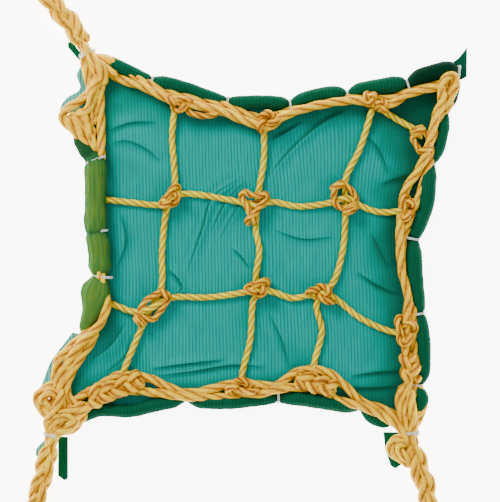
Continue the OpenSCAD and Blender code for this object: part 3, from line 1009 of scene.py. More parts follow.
class Studio:
    """Camera, lights and floor."""

    def __init__(self) -> None:
        """Sets the height of the camera and the part of the floor that it sees."""
        self.centre = (-13.2 * MM, -1.1 * MM)
        self.seen_height = 552.2 * MM
        self.distance = 2.0
        self.subject_height = 8 * MM

    def build_camera(self) -> None:
        """Adds a camera that looks straight down at the net."""
        data = bpy.data.cameras.new("camera_above")
        data.sensor_fit = "AUTO"
        data.angle = 2 * math.atan(self.seen_height / 2 / self.distance)
        data.clip_end = 20
        camera = bpy.data.objects.new("camera_above", data)
        camera.location = (*self.centre, self.distance + self.subject_height)
        bpy.context.scene.collection.objects.link(camera)
        bpy.context.scene.camera = camera

    def build_floor(self) -> None:
        """Adds a pale matt floor just under the net."""
        deselect()
        bpy.ops.mesh.primitive_plane_add(size=6, location=(0, 0, -0.3 * MM))
        floor = bpy.context.object
        floor.name = "floor"
        material = bpy.data.materials.new("pale_matt_floor")
        material.use_nodes = True
        shader = material.node_tree.nodes["Principled BSDF"]
        shader.inputs["Base Color"].default_value = srgb("#FBFBFA")
        shader.inputs["Roughness"].default_value = 0.95
        shader.inputs["Emission Color"].default_value = srgb("#FFFFFF")
        shader.inputs["Emission Strength"].default_value = 8.0
        floor.data.materials.append(material)

    def build_lights(self) -> None:
        """Adds a large soft key light, a weaker fill and an even pale surround."""
        self._area("key_light", (-1.2, 1.3, 1.35), 0.9, 54)
        self._area("fill_light", (1.3, -0.9, 1.5), 1.4, 10)
        world = bpy.data.worlds.new("pale_surround")
        world.use_nodes = True
        background = world.node_tree.nodes["Background"]
        background.inputs["Color"].default_value = srgb("#FFFFFF")
        background.inputs["Strength"].default_value = 1.0
        bpy.context.scene.world = world

    def _area(
        self, name: str, spot: tuple[float, float, float], size: float, power: float
    ) -> None:
        """Adds an area light that faces the net."""
        data = bpy.data.lights.new(name, "AREA")
        data.shape = "DISK"
        data.size = size
        data.energy = power
        lamp = bpy.data.objects.new(name, data)
        lamp.location = spot
        target = Vector((*self.centre, 0)) - Vector(spot)
        lamp.rotation_euler = target.to_track_quat("-Z", "Y").to_euler()
        bpy.context.scene.collection.objects.link(lamp)


@dataclass
class CornerTie:
    """A corner's tie: three ropes plaited together, a stopper knot and an eye.

    Attributes:
        corner: which corner it is.
        pitch: length of one full plait pattern.
        start: where in the pattern it begins, in radians.
        neck: distance over which it widens from the whipping.
        neck_share: its swing at the whipping, as a share of the full swing.
        bight: lines of rope folded back beside the whipping, (x, y, z) in millimetres.
    """

    corner: str
    pitch: float = 84 * MM
    start: float = 0.0
    neck: float = 20 * MM
    neck_share: float = 0.7
    bight: tuple[tuple[tuple[float, float, float], ...], ...] = ()
    rope: float = 10.6 * MM
    swing_w: float = 7.0 * MM
    swing_h: float = 4.4 * MM
    push: float = 14 * MM  # first point's distance from the corner: whipping radius + swing gap
    eye_inner_r: float = 14 * MM
    eye_rope: float = 12 * MM
    eye_knot_length: float = 34 * MM

    def route(self) -> np.ndarray:
        """The tie's centre line, from the whipping outwards."""
        corner = np.array(CORNERS[self.corner]) * MM
        rows = np.array(TIE_ROUTES[self.corner], dtype=float) * MM
        first = rows[0, :2]
        reach = np.linalg.norm(first)
        shift = first / reach * (self.push - reach)
        xy = rows[:, :2] + shift + corner
        return np.column_stack([xy, rows[:, 2] + TIE_PAIR_D / 2])

    def build(self) -> None:
        body = f"tie_{self.corner}"
        route = self.route()
        line = smooth_line(route, 1.4 * MM)
        bag = MeshBag()
        lay = Lay(self.rope, pitch=6.0, spacing=1.3 * MM, depth=0.5)
        grown = np.clip(lengths_along(line) / self.neck, 0, 1)
        swing = self.swing_w * (self.neck_share + (1 - self.neck_share) * grown)
        strands = plait(line, 3, swing, self.swing_h, self.pitch, self.start, uneven=0.22)
        for k, strand in enumerate(strands):
            add_rope(bag, strand[::3], lay, seed=1.7 * k + len(self.corner))
        add_rope(bag, line[4:-4:6], Lay(self.rope, pitch=6.0, depth=0.5), seed=0.3)
        tie = bag.build(f"tie_rope_{self.corner}_plait")
        dress(tie, Finish.TIE_ROPE)
        place(tie, body, f"tie_rope_{self.corner}")
        eye = self._eye(route)
        dress(eye, Finish.TIE_ROPE)
        place(eye, body, f"tie_eye_{self.corner}")
        if self.bight:
            bag = MeshBag()
            for k, fold in enumerate(self.bight):
                add_rope(bag, np.array(fold) * MM, lay, seed=2.4 * k)
            piece = bag.build(f"tie_bight_{self.corner}_folded")
            dress(piece, Finish.TIE_ROPE)
            place(piece, body)

    def _eye(self, route: np.ndarray) -> bpy.types.Object:
        """Builds the stopper knot and the eye beyond the plait's end."""
        way = route[-1, :2] - route[-2, :2]
        way /= np.linalg.norm(way)
        angle = math.degrees(math.atan2(way[1], way[0]))
        knot_h = 28 * MM
        knot = route[-1, :2] + way * (self.eye_knot_length / 2)
        bag = MeshBag()
        lay = Lay(self.eye_rope * 0.86, pitch=3.3, spacing=1.3 * MM)
        spot = (knot[0] / MM, knot[1] / MM, knot_h / 2 / MM)
        inner = [s / MM for s in (self.eye_knot_length - lay.diameter, knot_h - lay.diameter)]
        add_rope(bag, turned(overhand(inner[0], inner[1], inner[1] * 0.95), spot, angle), lay)
        centre_r = (self.eye_inner_r + self.eye_rope / 2) / MM
        reach = self.eye_knot_length / MM + self.eye_inner_r / MM
        z = self.eye_rope / 2 / MM
        sweep_angle = np.radians(np.linspace(-152, 152, 25))
        ring = [
            (reach + centre_r * math.cos(a), centre_r * math.sin(a), z) for a in sweep_angle
        ]
        ends = [(12, -3, z + 6), (18, -5, z + 3)]
        loop = [*ends, *ring, (18, 5, z + 3), (12, 3, z + 6)]
        start = (route[-1, 0] / MM, route[-1, 1] / MM, 0)
        thick = Lay(self.eye_rope * 0.98, pitch=3.3, spacing=1.3 * MM)
        add_rope(bag, turned(loop, start, angle), thick, seed=2.2)
        return bag.build(f"tie_eye_{self.corner}_laid")


class BorderRope:
    """The two runs of border rope on each side of the net."""

    def build(self) -> None:
        """Builds each run as laid rope."""
        for i, (name, route) in enumerate(BORDER_ROUTES.items()):
            bag = MeshBag()
            points = rise_from_cloth(route, BORDER_ROPE_D, BORDER_STACK)
            add_rope(bag, points, BORDER_LAY, seed=0.9 * i)
            piece = bag.build(f"{name}_laid")
            dress(piece, Finish.BORDER_ROPE)
            place(piece, NET_BODY, name)


class MeshNet:
    """The thinner ropes that form the meshes."""

    def build(self) -> None:
        """Builds each mesh rope as laid rope."""
        for i, (name, route) in enumerate(MESH_ROUTES.items()):
            bag = MeshBag()
            points = rise_from_cloth(route, MESH_ROPE_D, MESH_STACK)
            add_rope(bag, points, MESH_LAY, seed=1.3 * i + 0.4)
            piece = bag.build(f"{name}_laid")
            dress(piece, Finish.MESH_ROPE)
            place(piece, NET_BODY, name)


class KnotStyle(Enum):
    """How a knot is tied."""

    OVERHAND = "overhand"
    EYED = "eyed"
    CHAIN = "chain"
    PAIR = "pair"
    VEE = "vee"


@dataclass(frozen=True)
class Knot:
    """One knot of the net, in millimetres.

    Attributes:
        style: how it is tied.
        x, y: its middle.
        angle: direction of its long axis, in degrees.
        length, width: outside sizes.
        rise: height of its middle above the floor.
        mirror: whether it is tied the other way round.
        extra: further rope lines in the knot's own axes.
    """

    style: KnotStyle
    x: float
    y: float
    angle: float
    length: float
    width: float
    rise: float = 11.5
    mirror: bool = False
    extra: tuple[tuple[tuple[float, float, float], ...], ...] = ()

    def lines(self, rope: float) -> list[np.ndarray]:
        """Centre lines of the knot's ropes in metres, for rope of this diameter in mm."""
        spot = (self.x, self.y, self.rise)
        if self.style is KnotStyle.OVERHAND:
            local = [overhand(self.length - rope, self.width - rope, 12.5, self.mirror)]
        elif self.style is KnotStyle.EYED:
            local = [eyed_knot(self.length, self.width, rope)]
            if self.mirror:
                local[0][:, 1] *= -1
        elif self.style is KnotStyle.VEE:
            local = [np.array(line) for line in VEE_LINES]
        elif self.style is KnotStyle.PAIR:
            apart = self.length / 4
            lobe = overhand(self.length / 2 + 3 - rope, self.width - rope, 10.0)
            other = overhand(self.length / 2 + 3 - rope, self.width - 2 - rope, 10.0, True)
            local = [lobe + (-apart, 1.0, 1.0), other + (apart, -1.5, 0.0)]
        else:
            half = self.length / 2 - rope / 2
            middle = np.column_stack([np.linspace(-half, half, 60), np.zeros(60), np.zeros(60)])
            swing = (self.width - rope) / 2
            local = [p[::3] for p in plait(middle, 3, swing, 4.0, 44.0, self.x, uneven=0.4)]
        local += [np.array(line) for line in self.extra]
        return [turned(p, spot, self.angle) for p in local]


# A knot with two shoulders that run down to one tail, (along, across, height) in millimetres.
VEE_LINES = (
    ((-10, 5, 0), (-14, 8, 3), (-11, 12, 5), (-3, 9, 6), (5, 9, 5), (12, 11, 4), (14, 7, 1),
     (9, 4, -1)),
    ((-13, 10, -2), (-12, 4, 3), (-8, -3, 5), (-4, -11, 5), (1, -18, 3), (3, -21, -1),
     (0, -23, -4)),
    ((13, 9, -2), (11, 3, 2), (6, -4, 4), (1, -11, 6), (-5, -17, 4), (-6, -21, 0), (-2, -23, -4)),
    ((-9, 2, -4), (0, 0, -3), (8, 3, -4)),
    ((-4, -3, -3), (-1, -10, -2), (-1, -16, -2)),
)

NET_KNOTS = {
    "knot_v1_h1": Knot(KnotStyle.OVERHAND, -99, 57, 50, 35, 19),
    "knot_v2_h1": Knot(KnotStyle.VEE, -9, 51, -3, 32, 32),
    "knot_v3_h1": Knot(KnotStyle.EYED, 90, 57, 118, 38, 28, rise=12),
    "knot_v1_h2": Knot(KnotStyle.EYED, -121, -63, 47, 48, 24, rise=12),
    "knot_v2_h2": Knot(KnotStyle.OVERHAND, -4, -43, 20, 32, 21),
    "knot_v3_h2": Knot(KnotStyle.OVERHAND, 66, -47, -20, 36, 21, mirror=True),
    "knot_top_v1": Knot(
        KnotStyle.OVERHAND, -91, 160, -14, 34, 21, rise=14.5,
        extra=(((8, -5, 1), (20, -7, 1), (34, -5, 1), (42, 0, 0), (34, 2, 0), (18, 3, 0)),),
    ),
    "knot_top_v2": Knot(KnotStyle.OVERHAND, 6, 143, 38, 34, 21, rise=14.5, mirror=True),
    "knot_top_v3": Knot(KnotStyle.PAIR, 125, 162, -17, 30, 18, rise=15),
    "knot_right_brace": Knot(KnotStyle.EYED, 175, 121, -68, 31, 20, rise=14),
    "knot_right_h1": Knot(KnotStyle.OVERHAND, 160, 47, 88, 34, 20, rise=14),
    "knot_right_h2": Knot(KnotStyle.OVERHAND, 159, -88, 100, 38, 26, rise=13),
    "knot_right_low": Knot(KnotStyle.CHAIN, 163, -129, 90, 44, 24, rise=13),
    "knot_bottom_v1": Knot(KnotStyle.CHAIN, -160, -152, 20, 76, 26, rise=13),
    "knot_bottom_v2": Knot(KnotStyle.OVERHAND, -22, -149, 3, 40, 20, rise=14.5, mirror=True),
    "knot_bottom_v3": Knot(KnotStyle.CHAIN, 60, -147, -15, 58, 22, rise=13),
    "knot_left_h1": Knot(KnotStyle.OVERHAND, -180, 55, 90, 34, 16, rise=10.2),
    "knot_left_h2": Knot(KnotStyle.OVERHAND, -176, -48, 80, 32, 18, rise=10.2),
}


class Knots:
    """All knots of the net, as real rope."""

    def build(self) -> None:
        """Builds each knot."""
        for i, (name, knot) in enumerate(NET_KNOTS.items()):
            bag = MeshBag()
            chain = knot.style is KnotStyle.CHAIN
            lay = Lay(
                10.5 * MM if chain else 7 * MM, pitch=5.2, sides=7, spacing=1.1 * MM, depth=0.35
            )
            for k, line in enumerate(knot.lines(lay.diameter / MM)):
                add_rope(bag, line, lay, seed=0.7 * i + 1.9 * k)
            piece = bag.build(f"{name}_tied")
            dress(piece, Finish.BORDER_ROPE if chain else Finish.KNOT_ROPE)
            place(piece, NET_BODY, name)


class CornerWork:
    """Where the border's runs meet: whippings, bights and the folded loop."""

    # Rope lines from the border's ends to the tie, (x, y, z) in millimetres.
    LINES = {
        "top_left": (
            ((-158, 204, 7), (-172, 210, 7), (-184, 212, 8), (-190, 218, 9), (-198, 231, 10)),
            ((-158, 191, 13), (-172, 199, 13), (-184, 209, 16), (-190, 217, 18), (-197, 228, 17)),
            ((-191, 186, 8), (-194, 198, 9), (-195, 209, 10), (-195, 218, 10), (-203, 231, 13)),
            ((-174, 180, 9), (-173, 191, 15), (-179, 203, 20), (-188, 213, 20), (-198, 229, 19)),
            ((-170, 196, 8), (-181, 184, 12), (-188, 172, 14), (-189, 158, 12), (-198, 149, 9),
             (-214, 147, 7)),
            ((-213, 146, 6.5), (-199, 140, 6.5), (-189, 126, 7), (-181, 108, 7)),
            ((-191, 166, 7), (-186, 150, 7), (-184, 138, 6.5)),
        ),
        "bottom_left": (
            ((-226, -146, 8), (-238, -152, 9), (-247, -160, 9), (-244, -174, 9),
             (-233, -182, 13), (-219, -179, 18), (-206, -175, 16), (-194, -167, 12)),
            ((-218, -152, 16), (-222, -166, 18), (-229, -180, 17), (-236, -190, 12),
             (-234, -201, 11), (-235, -219, 11)),
            ((-206, -166, 9), (-216, -172, 9), (-226, -174, 10), (-240, -164, 14),
             (-232, -156, 16), (-220, -164, 12), (-215, -180, 10), (-222, -194, 13), (-229, -206, 15),
             (-231, -218, 14)),
            ((-190, -172, 8), (-197, -184, 9), (-208, -197, 9), (-219, -199, 10), (-226, -190, 15),
             (-217, -182, 18), (-205, -186, 16), (-211, -196, 16), (-224, -201, 14),
             (-232, -219, 12)),
            ((-181, -88, 8), (-190, -105, 9), (-200, -119, 9), (-209, -134, 8), (-214, -147, 8),
             (-214, -160, 9), (-205, -168, 9), (-196, -172, 9)),
        ),
        "bottom_right": (
            ((168, -146, 7), (177, -158, 7), (178, -170, 8), (173, -184, 8), (168, -195, 9),
             (165, -213, 10)),
            ((156, -147, 12), (151, -161, 11), (152, -176, 12), (158, -191, 14), (161, -201, 16),
             (167, -214, 13)),
            ((163, -152, 16), (164, -170, 17), (166, -188, 18), (164, -202, 18), (170, -216, 15)),
            ((128, -177, 8), (140, -183, 9), (152, -192, 10), (159, -201, 11), (164, -214, 12)),
            ((128, -179, 14), (140, -186, 16), (151, -195, 17), (159, -204, 18), (165, -214, 15)),
        ),
    }
    # Strands deeper in each gathered corner.
    CORES = {
        "top_left": (
            ((-195, 224, 10), (-190, 212, 10), (-184, 198, 9), (-184, 180, 8), (-185, 160, 7.2),
             (-184, 146, 7.2)),
            ((-212, 147, 7.2), (-202, 144, 7.2), (-193, 137, 7.2), (-185, 122, 7.2)),
            ((-206, 150, 7.2), (-198, 150, 7.2), (-192, 144, 7.2), (-187, 134, 7.2)),
            ((-217, 147, 6.4), (-208, 139, 6.4), (-201, 131, 6.4), (-193, 121, 6.6)),
        ),
        "bottom_left": (
            ((-234, -208, 9), (-231, -194, 9), (-226, -178, 9), (-222, -160, 8),
             (-220, -140, 7.2), (-213, -122, 7.2)),
            ((-216, -136, 6.6), (-210, -126, 6.6), (-203, -115, 6.6), (-196, -104, 6.6)),
            ((-240, -160, 8), (-237, -170, 8), (-228, -184, 8), (-212, -188, 8), (-200, -180, 8)),
            ((-222, -196, 8), (-212, -192, 8), (-203, -182, 8)),
        ),
        "bottom_right": (
            ((164, -210, 10), (163, -194, 9), (164, -176, 8), (165, -150, 8)),
            ((156, -150, 7.2), (158, -170, 7.2), (160, -190, 8)),
            ((172, -150, 7.2), (172, -170, 7.2), (168, -190, 8)),
        ),
    }
    # Middle of the twine band, its heading and half its width, in millimetres.
    BANDS = {
        "top_left": ((-191.5, 216, 12.5), 118, 9.5, 11.0),
        "bottom_left": ((-232, -203, 12.5), 262, 8.0, 10.0),
        "bottom_right": ((163, -201, 12.5), 275, 10.0, 11.0),
    }
    LOOP = (
        (196, 150, 12), (197, 164, 14), (197, 178, 15), (202, 189, 15), (210, 191, 14),
        (213, 184, 13), (209, 172, 12), (205, 160, 11), (200, 149, 9),
    )
    LOOP_FILL = ((198, 184, 9), (206, 186, 9), (205, 172, 8), (201, 158, 8))

    def build(self) -> None:
        """Builds the three whipped corners and the folded loop of the fourth."""
        for name, lines in self.LINES.items():
            bag = MeshBag()
            for k, line in enumerate(lines):
                add_rope(bag, np.array(line) * MM, BORDER_LAY, seed=1.1 * k)
            for k, line in enumerate(self.CORES[name]):
                add_rope(bag, np.array(line) * MM, CORE_LAY, seed=3.3 * k)
            piece = bag.build(f"corner_{name}_gathered")
            dress(piece, Finish.BORDER_ROPE)
            place(piece, NET_BODY, f"corner_lashing_{name}")
            band = self._band(name)
            dress(band, Finish.TWINE)
            place(band, NET_BODY)
        bag = MeshBag()
        add_rope(bag, np.array(self.LOOP) * MM, BORDER_LAY, seed=4.4)
        add_rope(bag, np.array(self.LOOP_FILL) * MM, BORDER_LAY, seed=6.1)
        loop = bag.build("corner_loop_top_right_folded")
        dress(loop, Finish.BORDER_ROPE)
        place(loop, NET_BODY, "corner_loop_top_right")

    def _band(self, name: str) -> bpy.types.Object:
        """Builds two turns of twine round the gathered ropes."""
        spot, heading, half_w, half_h = self.BANDS[name]
        turns = np.linspace(0, 2 * math.pi * 2.2, 66)
        rows = [
            (1.7 * (a / (2 * math.pi) - 1.1), half_w * math.cos(a), half_h * math.sin(a))
            for a in turns
        ]
        bag = MeshBag()
        add_rope(bag, turned(rows, spot, heading), TWINE_LAY)
        return bag.build(f"corner_{name}_twine_band")


def hull(points: np.ndarray) -> np.ndarray:
    """Convex outline round points of a plane, anticlockwise."""
    rows = sorted(map(tuple, points))

    def half(order: Sequence[tuple[float, float]]) -> list[tuple[float, float]]:
        """One side of the outline."""
        chain: list[tuple[float, float]] = []
        for p in order:
            while len(chain) > 1 and (
                (chain[-1][0] - chain[-2][0]) * (p[1] - chain[-2][1])
                - (chain[-1][1] - chain[-2][1]) * (p[0] - chain[-2][0])
            ) <= 0:
                chain.pop()
            chain.append(p)
        return chain[:-1]

    return np.array(half(rows) + half(rows[::-1]))


@dataclass
class RolledHem:
    """One rolled edge of the cloth, drawn in where the twine ties it.

    Attributes:
        name: the node it stands for.
        draws: points of the run where a tie draws it in.
        rope_side: side that the border rope lies on, 1 to the left of the run; not used.
        ribs_round: whether the ribs of the cloth run round the roll.
        holds_rope: whether the roll wraps the border rope.
    """

    name: str
    draws: tuple[int, ...]
    rope_side: int
    ribs_round: bool
    holds_rope: bool = False
    sides: int = 30
    spacing: float = 1.5 * MM

    def centre_line(self) -> np.ndarray:
        """Centre line with the roll's radius as its fourth column."""
        rows = np.array(HEM_RUNS[self.name], dtype=float)
        radius = rows[:, 2] * HEM_FULL_D / 2
        points = np.column_stack([rows[:, :2] * MM, radius, radius])
        return smooth_line(points, self.spacing)

    def build(self) -> bpy.types.Object:
        """Builds the scalloped roll with the pleats that its ties make."""
        line = self.centre_line()
        run = lengths_along(line)
        rows = np.array(HEM_RUNS[self.name], dtype=float)[:, :2] * MM
        ties = [
            run[np.argmin(np.linalg.norm(line[:, :2] - rows[i], axis=1))] for i in self.draws
        ]
        gap = np.min([np.abs(run - t) for t in ties], axis=0)
        draw = 0.10 if self.holds_rope else 0.5
        notch = 1 - draw * np.exp(-((gap / (2.4 * MM)) ** 2)) + 0.10 * np.exp(
            -(((gap - 14 * MM) / (9 * MM)) ** 2)
        )
        ends = np.minimum(run, run[-1] - run)
        close = 1 - 0.65 * np.exp(-((ends / (4 * MM)) ** 2))
        radius = line[:, 3] * notch * close
        if self.holds_rope:
            y = line[:, 1] / MM
            wraps = np.clip((y + 26) / 8, 0, 1) * np.clip((104 - y) / 8, 0, 1)
            line = line.copy()
            line[:, 0] += 1.5 * MM * wraps
            line[:, 2] += wraps * (10.8 * MM - line[:, 2])
            radius = radius + wraps * np.maximum(10.6 * MM * notch - radius, 0)
            bulge = np.exp(-(((y + 46) / 15) ** 2))
            line[:, 2] += bulge * (10.8 * MM - line[:, 2])
        pleat = 0.07 * np.exp(-gap / (6 * MM)) + 0.008
        angle = np.linspace(0, 2 * math.pi, self.sides, endpoint=False)
        side, up = moving_frame(line)
        seam = math.radians(150) + 0.35 * wobble(2.0, run, 40 * MM)
        rel = (angle[None, :] - seam[:, None]) % (2 * math.pi)
        spiral = 1 - 0.10 * rel / (2 * math.pi)
        drift = 2.2 * wobble(5.5, run, 12 * MM)[:, None]
        folds = np.sin(7 * angle[None, :] + drift) * pleat[:, None]
        soft = np.array(
            [[noise.noise((a * 1.4, s / (9 * MM), 3.3)) for a in angle] for s in run]
        )
        shape = spiral + folds + 0.05 * soft
        wide = radius * (1.13 if self.holds_rope else 1.04)
        tall = radius * (1.0 if self.holds_rope else 0.96)
        if self.holds_rope:
            wide = wide + 5.0 * MM * bulge
            tall = tall + bulge * np.maximum(10.6 * MM - tall, 0)
        square = 0.8 if self.holds_rope else 1.0
        cos = np.sign(np.cos(angle)) * np.abs(np.cos(angle)) ** square
        sin = np.sign(np.sin(angle)) * np.abs(np.sin(angle)) ** square
        rings = (
            line[:, None, :3]
            + (wide[:, None] * cos[None, :] * shape)[:, :, None] * side[:, None, :]
            + (tall[:, None] * sin[None, :] * shape)[:, :, None] * up[:, None, :]
        )
        rings[:, :, 2] = np.maximum(rings[:, :, 2], 0.4 * MM)
        show = np.clip(-0.1 + 1.2 * np.sin(angle)[None, :] + 0.5 * soft, 0, 1)
        corner = np.clip((line[:, 0] / MM - 150) / 20, 0, 1) * (line[:, 1] > 0.15)
        if self.holds_rope:
            corner = 0.9 * np.clip((line[:, 1] / MM - 96) / 6, 0, 1)
        bag = MeshBag()
        # The roll is painted darker in the notches that the ties draw in, painted shade, and darker
        # towards one corner.
        bag.add_tube(
            rings,
            run,
            2 * math.pi * HEM_FULL_D / 2,
            {"gathered": np.maximum(0.7 * np.exp(-gap / (4 * MM)), corner)},
        )
        if self.holds_rope:
            covered = (1 - 0.8 * np.exp(-gap / (6 * MM))) * (1 - corner)
            bag.marks["shows"] = [(0, (show * covered[:, None]).reshape(-1))]
        piece = bag.build(f"{self.name}_rolled")
        if self.ribs_round:
            swap_uv(piece)
        dress(piece, Finish.ROPE_IN_HEM if self.holds_rope else Finish.HEM_CLOTH)
        place(piece, NET_BODY, self.name)
        return piece


def swap_uv(piece: bpy.types.Object) -> None:
    """Turns the UV map of a piece by a right angle."""
    layer = piece.data.uv_layers["UVMap"]
    uv = np.zeros(2 * len(layer.data), dtype=np.float32)
    layer.data.foreach_get("uv", uv)
    uv = uv.reshape(-1, 2)[:, ::-1].copy()
    layer.data.foreach_set("uv", uv.reshape(-1))


def spread_lengths(
    shape: Callable[[np.ndarray, np.ndarray], np.ndarray],
) -> tuple[np.ndarray, np.ndarray]:
    """Lengths in metres of lines across a surface and of lines along it."""
    steps = np.linspace(0, 1, SPREAD_LINES)
    s, t = np.meshgrid(steps, steps)
    grid = shape(s.ravel(), t.ravel()).reshape(SPREAD_LINES, SPREAD_LINES, 3)
    across = np.linalg.norm(np.diff(grid, axis=1), axis=2).sum(axis=1)
    along = np.linalg.norm(np.diff(grid, axis=0), axis=2).sum(axis=0)
    return across, along


def grid_piece(
    name: str, columns: int, rows: int, shape: Callable[[np.ndarray, np.ndarray], np.ndarray]
) -> bpy.types.Object:
    """Adds a grid and lays it on a surface.

    Args:
        name: the piece's name.
        columns, rows: number of faces each way.
        shape: gives points for two arrays that run from 0 to 1.

    Returns:
        The piece, with a UV map in metres of the points' x and y.
    """
    deselect()
    bpy.ops.mesh.primitive_grid_add(
        x_subdivisions=columns, y_subdivisions=rows, size=1, location=(0, 0, 0)
    )
    piece = bpy.context.object
    piece.name = name
    mesh = piece.data
    flat = np.zeros(3 * len(mesh.vertices), dtype=np.float32)
    mesh.vertices.foreach_get("co", flat)
    flat = flat.reshape(-1, 3) + 0.5
    points = shape(flat[:, 0], flat[:, 1])
    mesh.vertices.foreach_set("co", points.astype(np.float32).reshape(-1))
    index = np.zeros(len(mesh.loops), dtype=np.int32)
    mesh.loops.foreach_get("vertex_index", index)
    mesh.uv_layers["UVMap"].data.foreach_set(
        "uv", points[index, :2].astype(np.float32).reshape(-1)
    )
    mesh.polygons.foreach_set("use_smooth", [True] * len(mesh.polygons))
    mesh.update()
    deselect()
    return piece


def thicken(piece: bpy.types.Object, thickness: float) -> None:
    """Gives a sheet its thickness, centred on its surface."""
    deselect()
    bpy.context.view_layer.objects.active = piece
    piece.select_set(True)
    wall = piece.modifiers.new("thickness", "SOLIDIFY")
    wall.thickness = thickness
    wall.offset = 0.0
    bpy.ops.object.modifier_apply(modifier=wall.name)
    deselect()


def along_polyline(points: np.ndarray, t: np.ndarray) -> np.ndarray:
    """Points at shares t of the length of a polyline."""
    run = np.concatenate([[0.0], np.cumsum(np.linalg.norm(np.diff(points, axis=0), axis=1))])
    run /= run[-1]
    return np.column_stack([np.interp(t, run, points[:, k]) for k in range(points.shape[1])])


@dataclass(frozen=True)
class Crease:
    """A fold line of the cloth: a smooth curve, its width and the step that it makes.

    Attributes:
        points: (x, y) in millimetres.
        width: half-width of the fold.
        height: rise of the fold; one side stands up, the other dips.
    """

    points: tuple[tuple[float, float], ...]
    width: float = 3.2
    height: float = 2.6

    def mark(self, x: np.ndarray, y: np.ndarray) -> tuple[np.ndarray, np.ndarray]:
        """Signed distance from the fold in millimetres, and the strength of the painted shadow line
        along it.
        """
        u, fade = self.lie(x, y)
        reach = u * self.width
        near = np.clip(1 - np.abs(reach) / 9, 0, 1)
        return reach, np.clip(0.6 * self.height, 0, 1) * fade * near

    def lie(self, x: np.ndarray, y: np.ndarray) -> tuple[np.ndarray, np.ndarray]:
        """Signed distance from the fold in half-widths, and its strength there."""
        line = smooth_line([(px, py, 0.0) for px, py in self.points], 2.0)[:, :2]
        best = np.full(x.shape, 1e9)
        signed = np.zeros(x.shape)
        share = np.zeros(x.shape)
        for i in range(len(line) - 1):
            a, d = line[i], line[i + 1] - line[i]
            near = (np.abs(x - a[0]) < 26) & (np.abs(y - a[1]) < 26)
            rx, ry = x[near] - a[0], y[near] - a[1]
            t = np.clip((rx * d[0] + ry * d[1]) / (d @ d), 0, 1)
            ex, ey = rx - t * d[0], ry - t * d[1]
            reach = np.hypot(ex, ey)
            closer = reach < best[near]
            rows = np.flatnonzero(near)[closer]
            best[rows] = reach[closer]
            signed[rows] = np.sign(d[0] * ey - d[1] * ex)[closer] * reach[closer]
            share[rows] = (i + t[closer]) / (len(line) - 1)
        fade = np.sin(math.pi * np.clip(share, 0, 1)) ** 0.5
        fade[best > 25] = 0
        return signed / self.width, fade

    def lift(self, x: np.ndarray, y: np.ndarray) -> np.ndarray:
        """Height of the fold at points in millimetres."""
        u, fade = self.lie(x, y)
        return self.height * fade * (np.exp(-(u**2)) + 0.9 * u * np.exp(-((u / 1.6) ** 2)))

    def pleat(self, x: np.ndarray, y: np.ndarray) -> np.ndarray:
        """How much painted shade darkens the cloth along the fold, from 0 to 1."""
        u, fade = self.lie(x, y)
        return 0.10 * self.height * fade * np.exp(-(((u + 0.35) / 0.8) ** 2))


CREASES = (
    Crease(((95, 155), (73, 144), (48, 126), (24, 102), (8, 82))),
    Crease(((45, 141), (28, 131), (10, 121)), 3.0, 1.6),
    Crease(((-26, 78), (-55, 57), (-65, 26), (-82, -24)), 3.4, 2.8),
    Crease(((-17, 77), (-39, 54), (-56, 20)), 2.8, 2.0),
    Crease(((-8, 70), (-30, 42), (-46, 12)), 3.0, 1.2),
    Crease(((-33, 2), (-24, -6), (-14, -20)), 3.0, 1.6),
    Crease(((-104, -20), (-92, -33), (-88, -42), (-96, -50)), 2.4, 2.4),
    Crease(((-122, -131), (-86, -126), (-40, -121)), 3.0, 2.6),
    Crease(((-116, -139), (-76, -134), (-30, -127), (4, -129)), 3.4, 2.0),
    Crease(((104, -24), (127, -39), (150, -49)), 3.2, 2.2),
    Crease(((130, 72), (152, 80), (178, 85)), 4.0, 2.0),
    Crease(((112, 128), (128, 112), (140, 84)), 6.0, 2.4),
    Crease(((98, -139), (126, -135), (156, -133)), 3.4, 2.2),
    Crease(((92, -152), (122, -152), (150, -150)), 3.0, 2.0),
    Crease(((-168, 132), (-145, 140), (-118, 141)), 4.0, 1.8),
    Crease(((-166, 118), (-148, 120), (-126, 110), (-112, 98)), 5.0, 1.5),
    Crease(((14, 22), (44, 12), (78, 14)), 6.0, 1.6),
    Crease(((8, -70), (22, -100), (30, -130)), 6.0, 1.5),
    Crease(((-160, -20), (-150, 10), (-156, 40)), 6.0, 1.7),
    Crease(((-150, -80), (-166, -104), (-186, -120)), 4.0, 2.0),
    Crease(((-144, -92), (-150, -116), (-172, -136)), 3.6, 1.6),
    Crease(((120, 20), (132, -4), (140, -20)), 6.0, 1.6),
)


def hump(x: np.ndarray, y: np.ndarray, cx: float, cy: float, rx: float, ry: float) -> np.ndarray:
    """A smooth bump of height 1 at (cx, cy)."""
    return np.exp(-(((x - cx) / rx) ** 2) - ((y - cy) / ry) ** 2)


def noise_field(x: np.ndarray, y: np.ndarray, scale: float, seed: float) -> np.ndarray:
    """Smooth noise over points in millimetres, between -1 and 1."""
    return np.array([noise.noise((a / scale, b / scale, seed)) for a, b in zip(x, y)])


